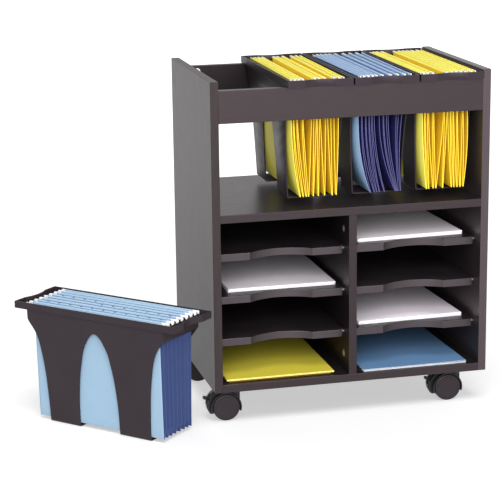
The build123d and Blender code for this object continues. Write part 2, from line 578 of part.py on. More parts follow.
def polar(centre, radius, degrees):
    a = math.radians(degrees)
    return (centre[0] + radius * math.cos(a), centre[1] + radius * math.sin(a))


def caster_hood(x, y, braked):
    """Moulded hood: a web between the wheels, a band over them, and a stem socket."""
    side = Plane(origin=at(x, y, 0), x_dir=(1, 0, 0), z_dir=(0, -1, 0))
    hub = (-TRAIL, WHEEL_RADIUS)
    low_right = polar(hub, HOOD_OUT, -17)
    with BuildPart() as hood:
        with BuildSketch(side):
            with BuildLine():
                Polyline(
                    low_right,
                    (10.6, 24.0),
                    (10.6, HOOD_TOP - 1.5),
                    (9.1, HOOD_TOP),
                    (-12.0, HOOD_TOP),
                    polar(hub, 36.8, 128),
                )
                ThreePointArc(polar(hub, 36.8, 128), polar(hub, 37.2, 168), polar(hub, 33.5, 207))
                Polyline(
                    polar(hub, 33.5, 207),
                    polar(hub, 29.5, 212),
                    (hub[0] - 14.0, hub[1] - 12.0),
                    (hub[0] + 14.0, hub[1] - 12.0),
                    polar(hub, 28.4, -17),
                    low_right,
                )
            make_face()
        extrude(amount=WEB_HALF, both=True)
        # fuller back of the hood, outside the wheels' reach
        with BuildSketch(side):
            with BuildLine():
                Polyline(
                    polar(hub, HOOD_IN, 60),
                    (4.0, HOOD_TOP - 2.0),
                    (-12.0, HOOD_TOP - 2.0),
                    polar(hub, 35.8, 128),
                )
                ThreePointArc(polar(hub, 35.8, 128), polar(hub, 36.2, 168), polar(hub, 32.6, 205))
                Line(polar(hub, 32.6, 205), polar(hub, HOOD_IN, 205))
                ThreePointArc(polar(hub, HOOD_IN, 205), polar(hub, HOOD_IN, 130), polar(hub, HOOD_IN, 60))
            make_face()
        extrude(amount=13.0, both=True)
        # band over both wheels
        with BuildSketch(side):
            with BuildLine():
                ThreePointArc(polar(hub, HOOD_OUT, -17), polar(hub, HOOD_OUT, 90), polar(hub, HOOD_OUT, 200))
                Line(polar(hub, HOOD_OUT, 200), polar(hub, HOOD_IN, 200))
                ThreePointArc(polar(hub, HOOD_IN, 200), polar(hub, HOOD_IN, 90), polar(hub, HOOD_IN, -17))
                Line(polar(hub, HOOD_IN, -17), polar(hub, HOOD_OUT, -17))
            make_face()
        extrude(amount=WHEEL_OUT, both=True)
        # round socket for the stem
        with BuildSketch(Plane(origin=at(x, y, 50.0), z_dir=UP)):
            Circle(10.6)
        extrude(amount=HOOD_TOP - 50.0)
        with Locations(Plane(origin=at(x, y, HOOD_TOP), z_dir=UP)):
            Hole(STEM_RADIUS + 0.07, HOOD_TOP - 40.5)
        # the wheels' room, axle bore
        with Locations(Plane(origin=at(x - TRAIL, y - WHEEL_IN + 0.4, WHEEL_RADIUS), z_dir=TO_FRONT)):
            Cylinder(HOOD_IN, 30.0, align=(Align.CENTER, Align.CENTER, Align.MIN), mode=Mode.SUBTRACT)
        with Locations(Plane(origin=at(x - TRAIL, y + WHEEL_IN - 0.4, WHEEL_RADIUS), z_dir=TO_BACK)):
            Cylinder(HOOD_IN, 30.0, align=(Align.CENTER, Align.CENTER, Align.MIN), mode=Mode.SUBTRACT)
        with Locations(Plane(origin=at(x - TRAIL, y, WHEEL_RADIUS), z_dir=TO_FRONT)):
            Cylinder(AXLE_RADIUS + 0.05, 30.0, mode=Mode.SUBTRACT)
        if braked:
            # slot for the lever and holes for its trunnions
            with BuildSketch(side):
                with BuildLine():
                    Polyline((-42.6, 52.0), (-80.0, 52.0), (-80.0, 27.0), (-42.6, 33.0), (-42.6, 52.0))
                make_face()
            extrude(amount=3.7, both=True, mode=Mode.SUBTRACT)
            with Locations(Plane(origin=at(x + LEVER_PIVOT[0], y, LEVER_PIVOT[1]), z_dir=TO_FRONT)):
                Cylinder(1.57, 2 * 5.6, mode=Mode.SUBTRACT)
    return hood.part


def caster_wheel(x, y, facing):
    """One wheel of a pair: rounded tread, shallow ring groove and a blind hub bore."""
    hub = Plane(origin=at(x - TRAIL, y, WHEEL_RADIUS), x_dir=(1, 0, 0), z_dir=(0, facing, 0))
    with BuildPart() as wheel:
        with BuildSketch(hub.offset(WHEEL_IN)):
            Circle(WHEEL_RADIUS)
        extrude(amount=WHEEL_OUT - WHEEL_IN)
        fillet(wheel.edges().filter_by(GeomType.CIRCLE), radius=2.6)
        # ring groove round the cap
        with BuildSketch(hub.offset(WHEEL_OUT - 0.8)):
            Circle(22.9)
            Circle(22.0, mode=Mode.SUBTRACT)
        extrude(amount=1.0, mode=Mode.SUBTRACT)
        # hollow inner face round the hub
        with BuildSketch(hub.offset(WHEEL_IN - 0.1)):
            Circle(22.5)
            Circle(8.0, mode=Mode.SUBTRACT)
        extrude(amount=9.0, mode=Mode.SUBTRACT)
        with BuildSketch(hub.offset(WHEEL_IN - 0.1)):
            Circle(AXLE_RADIUS + 0.05)
        extrude(amount=14.0, mode=Mode.SUBTRACT)
    return wheel.part


for spot, (x, y) in caster_spots.items():
    hood = caster_hood(x, y, spot.startswith("front"))
    hood.label = f"caster_hood_{spot}"
    export_step(hood, f"parts/caster_hood_{spot}.step")
    with BuildPart() as axle:
        with Locations(Plane(origin=at(x - TRAIL, y, WHEEL_RADIUS), z_dir=TO_FRONT)):
            Cylinder(AXLE_RADIUS, 2 * 19.4)
    axle.part.label = f"caster_axle_{spot}"
    export_step(axle.part, f"parts/caster_axle_{spot}.step")
    for end, facing in (("front", -1), ("back", 1)):
        wheel = caster_wheel(x, y, facing)
        wheel.label = f"wheel_{spot}_{end}"
        export_step(wheel, f"parts/wheel_{spot}_{end}.step")


def brake_lever(x, y):
    """A tab on two trunnions, tipped down with the foot to hold the wheels."""
    side = Plane(origin=at(x, y, 0), x_dir=(1, 0, 0), z_dir=(0, -1, 0))
    middle = ((LEVER_PIVOT[0] + LEVER_TIP[0]) / 2, (LEVER_PIVOT[1] + LEVER_TIP[1]) / 2)
    reach = math.dist(LEVER_PIVOT, LEVER_TIP)
    rise = math.degrees(math.atan2(LEVER_TIP[1] - LEVER_PIVOT[1], LEVER_TIP[0] - LEVER_PIVOT[0]))
    with BuildPart() as lever:
        with BuildSketch(side):
            with Locations(middle):
                SlotCenterToCenter(reach, 6.2, rotation=rise)
        extrude(amount=3.4, both=True)
        fillet(lever.edges().filter_by(GeomType.LINE).filter_by(Axis.Y, reverse=True), radius=0.6)
        with Locations(Plane(origin=at(x + LEVER_PIVOT[0], y, LEVER_PIVOT[1]), z_dir=TO_FRONT)):
            Cylinder(1.5, 2 * 5.0)
    return lever.part


for spot in ("front_left", "front_right"):
    lever = brake_lever(*caster_spots[spot])
    lever.label = f"brake_lever_{spot}"
    export_step(lever, f"parts/brake_lever_{spot}.step")


# ---------------------------------------------------------------- file tubs
def frame_of_tub(x, y, z, turn):
    """The tub's own planes: its floor plan, its long side and its cross-section."""
    a = math.radians(turn)
    along = (math.cos(a), math.sin(a), 0)
    across = (-math.sin(a), math.cos(a), 0)
    origin = at(x, y, z)
    plan = Plane(origin=origin, x_dir=along, z_dir=(0, 0, 1))
    side = Plane(origin=origin, x_dir=along, z_dir=tuple(-c for c in across))
    section = Plane(origin=origin, x_dir=across, z_dir=along)
    return plan, side, section


def file_tub(x, y, z, turn):
    """Moulded hanging-file tub: flanged rim, hanger rails and two strap legs a side."""
    plan, side, section = frame_of_tub(x, y, z, turn)
    half_l, half_w = TUB_LENGTH / 2, TUB_WIDTH / 2
    skirt_top = TUB_HEIGHT - RIM_HEIGHT + LEDGE
    dip = 31.6
    with BuildPart() as tub:
        # tapering box
        with BuildSketch(section) as outer_section:
            with BuildLine():
                Polyline(
                    (-BODY_HALF_FOOT, 0),
                    (BODY_HALF_FOOT, 0),
                    (BODY_HALF_TOP, skirt_top),
                    (-BODY_HALF_TOP, skirt_top),
                    close=True,
                )
            make_face()
            fillet(outer_section.vertices().group_by(Axis.Y)[0], radius=5.0)
        extrude(amount=BODY_HALF_LENGTH, both=True)
        with BuildSketch(section) as inner_section:
            with BuildLine():
                Polyline(
                    (-BODY_HALF_FOOT + TUB_WALL, TUB_WALL),
                    (BODY_HALF_FOOT - TUB_WALL, TUB_WALL),
                    (BODY_HALF_TOP - TUB_WALL, skirt_top + 1),
                    (-BODY_HALF_TOP + TUB_WALL, skirt_top + 1),
                    close=True,
                )
            make_face()
            fillet(inner_section.vertices().group_by(Axis.Y)[0], radius=2.6)
        extrude(amount=BODY_HALF_LENGTH - TUB_WALL, both=True, mode=Mode.SUBTRACT)
        # open ends and curved outer edges of the legs
        with BuildSketch(side):
            for s in (1, -1):
                with BuildLine():
                    Spline(*[(s * u, w) for u, w in SIDE_OUTLINE])
                    Polyline(
                        (s * SIDE_OUTLINE[-1][0], SIDE_OUTLINE[-1][1]),
                        (s * SIDE_OUTLINE[-1][0], -5.0),
                        (s * 175.0, -5.0),
                        (s * 175.0, SIDE_OUTLINE[0][1]),
                        (s * SIDE_OUTLINE[0][0], SIDE_OUTLINE[0][1]),
                    )
                make_face()
        extrude(amount=90.0, both=True, mode=Mode.SUBTRACT)
        # arch between the legs
        with BuildSketch(side):
            with BuildLine():
                Spline(*([(-u, w) for u, w in reversed(ARCH)] + ARCH[1:]))
                Polyline((ARCH[-1][0], 0), (ARCH[-1][0], -5.0), (-ARCH[-1][0], -5.0), (-ARCH[-1][0], 0))
            make_face()
        extrude(amount=90.0, both=True, mode=Mode.SUBTRACT)
        # flanged rim, dipped in the middle of each end
        with BuildSketch(plan.offset(TUB_HEIGHT - RIM_HEIGHT)):
            with BuildLine():
                Line((-half_l, -half_w), (half_l, -half_w))
                Line((half_l, -half_w), (half_l, -dip))
                ThreePointArc((half_l, -dip), (half_l - RIM_DIP, 0), (half_l, dip))
                Polyline((half_l, dip), (half_l, half_w), (-half_l, half_w), (-half_l, dip))
                ThreePointArc((-half_l, dip), (-half_l + RIM_DIP, 0), (-half_l, -dip))
                Line((-half_l, -dip), (-half_l, -half_w))
            make_face()
        extrude(amount=RIM_HEIGHT)
        with BuildSketch(plan.offset(skirt_top)):
            with BuildLine():
                Line((-half_l, -half_w), (half_l, -half_w))
                Line((half_l, -half_w), (half_l, -dip))
                ThreePointArc((half_l, -dip), (half_l - RIM_DIP, 0), (half_l, dip))
                Polyline((half_l, dip), (half_l, half_w), (-half_l, half_w), (-half_l, dip))
                ThreePointArc((-half_l, dip), (-half_l + RIM_DIP, 0), (-half_l, -dip))
                Line((-half_l, -dip), (-half_l, -half_w))
            make_face()
            offset(amount=-RIM_WALL, kind=Kind.INTERSECTION, mode=Mode.REPLACE)
        extrude(amount=RIM_HEIGHT, mode=Mode.SUBTRACT)
        with BuildSketch(plan.offset(TUB_HEIGHT - RIM_HEIGHT - 1)):
            Rectangle(2 * (BODY_HALF_LENGTH - TUB_WALL), 2 * (BODY_HALF_TOP - TUB_WALL) - 0.3)
        extrude(amount=LEDGE + 1, mode=Mode.SUBTRACT)
        # upright rails that the folder hooks hang on
        with BuildSketch(plan.offset(skirt_top - 0.5)):
            with Locations((BODY_HALF_LENGTH - TUB_WALL / 2, 0), (-BODY_HALF_LENGTH + TUB_WALL / 2, 0)):
                Rectangle(TUB_WALL, 2 * (half_w - RIM_WALL))
        extrude(amount=HANGER_RAIL_TOP - skirt_top + 0.5)
    return tub.part


def flap_line(top, middle, end, power, bow, full, belly):
    """Points down one flap below its folded top, as (across, up)."""
    if full:
        return [(top * FULL_TAPER, FULL_SHOULDER)]
    if belly:
        return [(top + (end - top) * share, w) for share, w in zip(BELLY, FLAP_LEVELS)]
    first = FLAP_LEVELS[0]
    points = []
    for w in FLAP_LEVELS:
        t = (first - w) / (first - FOLDER_BOTTOM)
        points.append((middle + (end - middle) * t**power + bow * math.sin(math.pi * t), w))
    return points


def folder_set(x, y, z, turn, folders, full):
    """Hanging folders, each filled between its two flaps down to its bottom fold. The
    first flap bellies out against the tub; full folders keep their width almost down to
    the fold."""
    plan, side, section = frame_of_tub(x, y, z, turn)
    with BuildPart() as pack:
        for number, (front, back, low_front, low_back, fold, power, bow) in enumerate(folders):
            left, right = fold - FOLD_HALF, fold + FOLD_HALF
            front_side = flap_line(front, low_front, left, power, bow, full, number == 0)
            back_side = flap_line(back, low_back, right, power, bow, full, False)
            with BuildSketch(section):
                with BuildLine():
                    Polyline(
                        (front, FOLDER_TOP),
                        (back, FOLDER_TOP),
                        *back_side,
                        (right, FOLDER_BOTTOM),
                        (left, FOLDER_BOTTOM),
                        *reversed(front_side),
                        close=True,
                    )
                make_face()
            extrude(amount=FOLDER_LENGTH / 2, both=True)
    return pack.part


def hanger_rods(x, y, z, turn, folders):
    """Two flat rods to a folder, notched where they hang on the tub's end rails."""
    plan, side, section = frame_of_tub(x, y, z, turn)
    rail = BODY_HALF_LENGTH - TUB_WALL / 2
    notch = TUB_WALL / 2 + 0.5
    with BuildPart() as rods:
        for front, back, *_ in folders:
            for v in (front + ROD_THICK / 2 + 0.2, back - ROD_THICK / 2 - 0.2):
                with BuildSketch(Plane(origin=side.origin + plan.y_dir * v, x_dir=side.x_dir, z_dir=side.z_dir)):
                    with BuildLine():
                        Polyline(
                            (-ROD_LENGTH / 2, ROD_BOTTOM),
                            (-rail - notch, ROD_BOTTOM),
                            (-rail - notch, HANGER_RAIL_TOP),
                            (-rail + notch, HANGER_RAIL_TOP),
                            (-rail + notch, ROD_BOTTOM),
                            (rail - notch, ROD_BOTTOM),
                            (rail - notch, HANGER_RAIL_TOP),
                            (rail + notch, HANGER_RAIL_TOP),
                            (rail + notch, ROD_BOTTOM),
                            (ROD_LENGTH / 2, ROD_BOTTOM),
                            (ROD_LENGTH / 2, ROD_BOTTOM + ROD_HEIGHT),
                            (-ROD_LENGTH / 2, ROD_BOTTOM + ROD_HEIGHT),
                            close=True,
                        )
                    make_face()
                extrude(amount=ROD_THICK / 2, both=True)
    return rods.part


HUNG_Z = RAIL_TOP - (TUB_HEIGHT - RIM_HEIGHT)
tub_places = {
    1: (FIRST_TUB_X, DEPTH / 2, HUNG_Z, -90.0, FOLDERS_1),
    2: (FIRST_TUB_X + TUB_PITCH, DEPTH / 2, HUNG_Z, -90.0, FOLDERS_2),
    3: (FIRST_TUB_X + 2 * TUB_PITCH, DEPTH / 2, HUNG_Z, -90.0, FOLDERS_3),
    4: (FLOOR_TUB[0], FLOOR_TUB[1], 0.0, FLOOR_TUB_TURN, FOLDERS_4),
}
for number, (x, y, z, turn, folders) in tub_places.items():
    tub = file_tub(x, y, z, turn)
    tub.label = f"file_tub_{number}"
    export_step(tub, f"parts/file_tub_{number}.step")
    pack = folder_set(x, y, z, turn, folders, full=number == 4)
    pack.label = f"hanging_folders_{number}"
    export_step(pack, f"parts/hanging_folders_{number}.step")
    rods = hanger_rods(x, y, z, turn, folders)
    rods.label = f"hanger_rods_{number}"
    export_step(rods, f"parts/hanger_rods_{number}.step")

# ---------------------------------------------------------------- papers
for name, (x, y, wide, deep, thick, turn, level) in PAPERS.items():
    with BuildPart() as stack:
        with BuildSketch(Plane.XY.offset(level)):
            with Locations(at(x, y)[:2]):
                Rectangle(wide, deep, rotation=turn)
        extrude(amount=thick)
    stack.part.label = name
    export_step(stack.part, f"parts/{name}.step")
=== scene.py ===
import math
import random

import bmesh
import bpy
from mathutils import Euler, Matrix, Vector

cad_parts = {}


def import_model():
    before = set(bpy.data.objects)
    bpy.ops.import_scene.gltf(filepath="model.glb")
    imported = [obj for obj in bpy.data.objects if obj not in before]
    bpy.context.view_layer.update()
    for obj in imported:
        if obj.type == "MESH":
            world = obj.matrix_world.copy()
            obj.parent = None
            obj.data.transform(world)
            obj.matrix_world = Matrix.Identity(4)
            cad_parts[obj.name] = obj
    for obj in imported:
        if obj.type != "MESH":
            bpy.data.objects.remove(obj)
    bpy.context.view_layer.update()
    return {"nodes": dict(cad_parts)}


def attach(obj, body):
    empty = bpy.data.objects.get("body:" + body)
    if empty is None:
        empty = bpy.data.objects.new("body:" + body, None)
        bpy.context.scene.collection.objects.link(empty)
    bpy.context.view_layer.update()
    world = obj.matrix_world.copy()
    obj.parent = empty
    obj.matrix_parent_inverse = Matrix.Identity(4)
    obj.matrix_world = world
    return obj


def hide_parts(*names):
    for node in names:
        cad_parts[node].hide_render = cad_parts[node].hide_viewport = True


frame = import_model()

NODES = frame["nodes"]
scene = bpy.context.scene
random.seed(11)

# ------------------------------------------------------------------ shared sizes (mm)
CART_X, CART_Y = -97.36685, -130.55697
HUNG_Z = 659.0 - (240.0 - 13.6)
FLAP_TOP = 239.2
FLAP_FOLD = 7.7
FOLDER_HALF = 149.0
# near their tops the folders spread across and along to fill the tub's rim
SPREAD = 0.085
# where the outermost tops lie across the tub, at its back end and at its front end
FAN = {
    1: ((-50.0, 56.5), (-53.0, 53.0)),
    2: ((-48.0, 59.5), (-47.0, 56.0)),
    3: ((-56.0, 58.0), (-57.5, 56.0)),
    4: ((-57.5, 57.5), (-57.5, 57.5)),
}
REACH = {1: (6.3, 5.3), 2: (6.3, 5.3), 3: (6.3, 5.3), 4: (6.3, 2.6)}
TUBS = {
    1: (213.25, 180.0, HUNG_Z, -90.0),
    2: (344.75, 180.0, HUNG_Z, -90.0),
    3: (476.25, 180.0, HUNG_Z, -90.0),
    4: (-186.0, 72.4, 0.0, -45.82),
}
# each folder: flaps at the top, the same at the window's top, fold, curve power, bow
FOLDERS = {
    1: [
        (-53.0, -45.4, -47.7, -43.8, -31.0, 2.0, 0.0),
        (-44.0, -37.4, -42.4, -36.8, -25.0, 1.7, 0.0),
        (-36.0, -29.4, -35.4, -26.2, -19.0, 1.5, 0.0),
        (-28.0, -5.8, -24.6, -8.2, -14.3, 1.2, 0.0),
        (-4.4, 2.2, -3.2, 2.0, -4.8, 1.0, 0.0),
        (3.6, 13.6, 3.6, 8.4, 5.3, 1.0, 0.0),
        (15.0, 32.3, 10.0, 20.5, 18.1, 1.1, 0.0),
        (33.7, 42.3, 24.6, 31.0, 33.0, 1.3, 0.0),
        (43.7, 53.0, 37.4, 46.2, 41.1, 1.6, 0.0),
    ],
    2: [
        (-53.0, -45.2, -45.5, -39.4, -20.2, 2.3, 0.0),
        (-43.8, -36.5, -37.9, -31.4, -12.7, 2.2, 0.0),
        (-35.1, -27.5, -29.9, -24.2, -7.6, 2.1, 0.0),
        (-26.1, -19.0, -22.7, -18.9, -2.4, 2.0, 0.0),
        (-17.5, -7.0, -17.4, -13.4, 7.9, 1.9, 0.0),
        (-5.6, 10.0, -3.2, 4.2, 30.2, 2.1, 0.0),
        (11.4, 24.5, 5.7, 11.2, 33.0, 2.0, 0.0),
        (25.9, 39.0, 14.5, 30.9, 35.8, 1.4, -2.0),
        (40.4, 53.0, 35.6, 42.5, 40.9, 1.2, -4.0),
    ],
    3: [
        (-53.0, -46.4, -46.7, -42.4, -36.7, 1.8, 0.0),
        (-45.0, -39.6, -41.0, -35.9, -32.1, 1.6, 0.0),
        (-38.2, -29.4, -33.5, -25.0, -22.8, 1.5, 0.0),
        (-28.0, -4.2, -23.2, -2.9, -17.2, 1.2, 0.0),
        (-2.8, 5.6, -1.2, 4.0, -3.3, 1.1, 0.0),
        (7.0, 14.4, 5.6, 10.4, 14.9, 1.5, 0.0),
        (15.8, 22.8, 12.0, 16.0, 20.5, 1.4, 0.0),
        (24.2, 31.6, 17.6, 24.2, 26.8, 1.4, 0.0),
        (33.0, 42.4, 25.8, 35.8, 33.1, 1.4, 0.0),
        (43.8, 53.0, 37.4, 46.2, 39.4, 2.2, 1.6),
    ],
    4: [
        (-53.0, -42.0, -50.9, -40.4, -45.6, 1.0, 0.0),
        (-40.8, -28.2, -39.2, -27.1, -33.0, 1.0, 0.0),
        (-27.0, -14.0, -25.9, -13.5, -20.0, 1.0, 0.0),
        (-12.8, 0.4, -12.3, 0.4, -6.6, 1.0, 0.0),
        (1.6, 14.8, 1.5, 14.2, 8.0, 1.0, 0.0),
        (16.0, 28.6, 15.4, 27.5, 22.6, 1.0, 0.0),
        (29.8, 41.6, 28.6, 40.0, 35.6, 1.0, 0.0),
        (42.8, 53.0, 41.1, 50.9, 46.4, 1.0, 0.0),
    ],
}
PAPERS = {
    "paper_left_middle": (151.5, 197.5, 220.0, 279.0, 7.0, 0.0, 252.0),
    "paper_right_top": (409.3, 194.75, 224.0, 279.0, 7.0, 2.5, 336.9),
    "paper_right_lower": (412.1, 194.8, 222.0, 279.0, 7.0, 2.0, 167.1),
    "paper_bottom_left": (134.6, 149.9, 220.0, 279.0, 7.0, 0.2, 83.0),
    "paper_bottom_right": (410.3, 147.8, 218.0, 279.0, 5.0, 0.7, 83.0),
}


def world(x, y, z=0.0):
    return Vector(((CART_X + x) / 1000, (CART_Y + y) / 1000, z / 1000))


def tub_place(number):
    """Matrix from a tub's own millimetres (along, across, up) to the frame."""
    x, y, z, turn = TUBS[number]
    return Matrix.Translation(world(x, y, z)) @ Matrix.Rotation(math.radians(turn), 4, "Z") @ Matrix.Scale(0.001, 4)


# ------------------------------------------------------------------ materials
def new_material(name):
    m = bpy.data.materials.new(name)
    m.use_nodes = True
    return m, m.node_tree.nodes, m.node_tree.links, m.node_tree.nodes["Principled BSDF"]


def stretched_noise(nodes, links, scale, detail=4.0, stretch=(1, 1, 1), rough=0.55):
    coord = nodes.new("ShaderNodeTexCoord")
    mapping = nodes.new("ShaderNodeMapping")
    mapping.inputs["Scale"].default_value = stretch
    noise = nodes.new("ShaderNodeTexNoise")
    noise.inputs["Scale"].default_value = scale
    noise.inputs["Detail"].default_value = detail
    noise.inputs["Roughness"].default_value = rough
    links.new(coord.outputs["Object"], mapping.inputs["Vector"])
    links.new(mapping.outputs["Vector"], noise.inputs["Vector"])
    return noise


def ramp(nodes, links, source, stops):
    r = nodes.new("ShaderNodeValToRGB")
    r.color_ramp.elements[0].position, r.color_ramp.elements[0].color = stops[0][0], (*stops[0][1], 1)
    r.color_ramp.elements[1].position, r.color_ramp.elements[1].color = stops[-1][0], (*stops[-1][1], 1)
    for pos, col in stops[1:-1]:
        e = r.color_ramp.elements.new(pos)
        e.color = (*col, 1)
    links.new(source, r.inputs["Fac"])
    return r


def shade(c, f):
    return tuple(min(1.0, v * f) for v in c)


def grey_range(nodes, links, source, low, high, lo_in=0.3, hi_in=0.7):
    m = nodes.new("ShaderNodeMapRange")
    m.inputs["From Min"].default_value = lo_in
    m.inputs["From Max"].default_value = hi_in
    m.inputs["To Min"].default_value = low
    m.inputs["To Max"].default_value = high
    links.new(source, m.inputs["Value"])
    return m


def bump(nodes, links, bsdf, source, strength, distance):
    b = nodes.new("ShaderNodeBump")
    b.inputs["Strength"].default_value = strength
    b.inputs["Distance"].default_value = distance
    links.new(source, b.inputs["Height"])
    links.new(b.outputs["Normal"], bsdf.inputs["Normal"])
    return b


def laminate(name, colour, stretch, rough=0.42, sheen=0.5, tint=(1.0, 0.80, 0.86)):
    """Satin printed laminate: fine pores drawn out along the board, faint cloudiness."""
    m, n, l, b = new_material(name)
    grain = stretched_noise(n, l, 900.0, 3.0, stretch, 0.6)
    cloud = stretched_noise(n, l, 150.0, 4.0, tuple(v * (0.6 if v < 1 else 1.0) for v in stretch))
    mix = n.new("ShaderNodeMix")
    mix.data_type = "RGBA"
    mix.blend_type = "MULTIPLY"
    mix.inputs["Factor"].default_value = 1.0
    a = ramp(n, l, grain.outputs["Fac"], [(0.30, shade(colour, 0.80)), (0.52, colour), (0.74, shade(colour, 1.16))])
    c = ramp(n, l, cloud.outputs["Fac"], [(0.3, (0.93, 0.93, 0.93)), (0.7, (1.0, 1.0, 1.0))])
    l.new(a.outputs["Color"], mix.inputs["A"])
    l.new(c.outputs["Color"], mix.inputs["B"])
    l.new(mix.outputs["Result"], b.inputs["Base Color"])
    r = grey_range(n, l, grain.outputs["Fac"], rough - 0.04, rough + 0.07)
    l.new(r.outputs["Result"], b.inputs["Roughness"])
    b.inputs["Specular IOR Level"].default_value = sheen
    b.inputs["Specular Tint"].default_value = (*tint, 1.0)
    bump(n, l, b, grain.outputs["Fac"], 0.10, 0.0002)
    return m


def plastic(name, colour, rough=0.4, grain=2600.0, strength=0.12, spread=0.10, sheen=0.5, tint=(1.0, 1.0, 1.0)):
    """Moulded plastic with a fine spark-eroded grain and slight unevenness of tone."""
    m, n, l, b = new_material(name)
    fine = stretched_noise(n, l, grain, 2.0)
    cloud = stretched_noise(n, l, 14.0, 4.0)
    a = ramp(n, l, cloud.outputs["Fac"], [(0.28, shade(colour, 1 - spread)), (0.72, shade(colour, 1 + spread))])
    l.new(a.outputs["Color"], b.inputs["Base Color"])
    r = grey_range(n, l, cloud.outputs["Fac"], rough - 0.05, rough + 0.06)
    l.new(r.outputs["Result"], b.inputs["Roughness"])
    b.inputs["Specular IOR Level"].default_value = sheen
    b.inputs["Specular Tint"].default_value = (*tint, 1.0)
    bump(n, l, b, fine.outputs["Fac"], strength, 0.00012)
    return m


def card(name, colour, rough=0.62, spread=0.06, painted_glow=0.0):
    """Coloured card: faint fibre fleck and slight mottling."""
    m, n, l, b = new_material(name)
    fibre = stretched_noise(n, l, 700.0, 5.0)
    cloud = stretched_noise(n, l, 20.0, 3.0)
    mix = n.new("ShaderNodeMix")
    mix.data_type = "RGBA"
    mix.blend_type = "MULTIPLY"
    mix.inputs["Factor"].default_value = 1.0
    a = ramp(n, l, fibre.outputs["Fac"], [(0.3, shade(colour, 1 - spread)), (0.7, shade(colour, 1 + spread))])
    c = ramp(n, l, cloud.outputs["Fac"], [(0.3, (0.95, 0.95, 0.95)), (0.7, (1.0, 1.0, 1.0))])
    l.new(a.outputs["Color"], mix.inputs["A"])
    l.new(c.outputs["Color"], mix.inputs["B"])
    l.new(mix.outputs["Result"], b.inputs["Base Color"])
    r = grey_range(n, l, fibre.outputs["Fac"], rough - 0.05, rough + 0.05)
    l.new(r.outputs["Result"], b.inputs["Roughness"])
    b.inputs["Specular IOR Level"].default_value = 0.35
    if painted_glow:
        # painted glow: the card gives off its own colour as light, standing in for daylight soaking into the card from
        # its other side
        l.new(mix.outputs["Result"], b.inputs["Emission Color"])
        b.inputs["Emission Strength"].default_value = painted_glow
    bump(n, l, b, fibre.outputs["Fac"], 0.08, 0.00015)
    return m


def card_with_painted_shade(name, colour, painted_glow=0.0):
    """Card of the outermost flaps of the hung folders, with painted shade by place along the tub:
    full colour at the folders' two ends, about two thirds across the middle at the arches, and about a
    third in between, where the tub's wall would shade it."""
    m, n, l, b = new_material(name)
    fibre = stretched_noise(n, l, 700.0, 5.0)
    a = ramp(n, l, fibre.outputs["Fac"], [(0.3, shade(colour, 0.94)), (0.7, shade(colour, 1.06))])
    coord = n.new("ShaderNodeTexCoord")
    parts = n.new("ShaderNodeSeparateXYZ")
    l.new(coord.outputs["Object"], parts.inputs["Vector"])
    off = n.new("ShaderNodeMath")
    off.operation = "SUBTRACT"
    off.inputs[1].default_value = (CART_Y + 180.0) / 1000
    l.new(parts.outputs["Y"], off.inputs[0])
    away = n.new("ShaderNodeMath")
    away.operation = "ABSOLUTE"
    l.new(off.outputs["Value"], away.inputs[0])
    # painted shade: the colour factor falls from full at the folders' ends to about a third, then rises to about two
    # thirds at the arches
    lit = ramp(n, l, away.outputs["Value"], [(0.045, (0.62, 0.62, 0.62)), (0.085, (0.34, 0.34, 0.34)), (0.120, (0.32, 0.32, 0.32)), (0.143, (1.0, 1.0, 1.0))])
    mix = n.new("ShaderNodeMix")
    mix.data_type = "RGBA"
    mix.blend_type = "MULTIPLY"
    mix.inputs["Factor"].default_value = 1.0
    l.new(a.outputs["Color"], mix.inputs["A"])
    l.new(lit.outputs["Color"], mix.inputs["B"])
    l.new(mix.outputs["Result"], b.inputs["Base Color"])
    if painted_glow:
        # painted glow in the card's own colour
        l.new(mix.outputs["Result"], b.inputs["Emission Color"])
        b.inputs["Emission Strength"].default_value = painted_glow
    b.inputs["Roughness"].default_value = 0.62
    b.inputs["Specular IOR Level"].default_value = 0.35
    bump(n, l, b, fibre.outputs["Fac"], 0.08, 0.00015)
    return m


def metal(name, colour, rough=0.35):
    m, n, l, b = new_material(name)
    fine = stretched_noise(n, l, 500.0, 4.0)
    a = ramp(n, l, fine.outputs["Fac"], [(0.3, shade(colour, 0.86)), (0.7, colour)])
    l.new(a.outputs["Color"], b.inputs["Base Color"])
    r = grey_range(n, l, fine.outputs["Fac"], rough - 0.06, rough + 0.1)
    l.new(r.outputs["Result"], b.inputs["Roughness"])
    b.inputs["Metallic"].default_value = 1.0
    return m


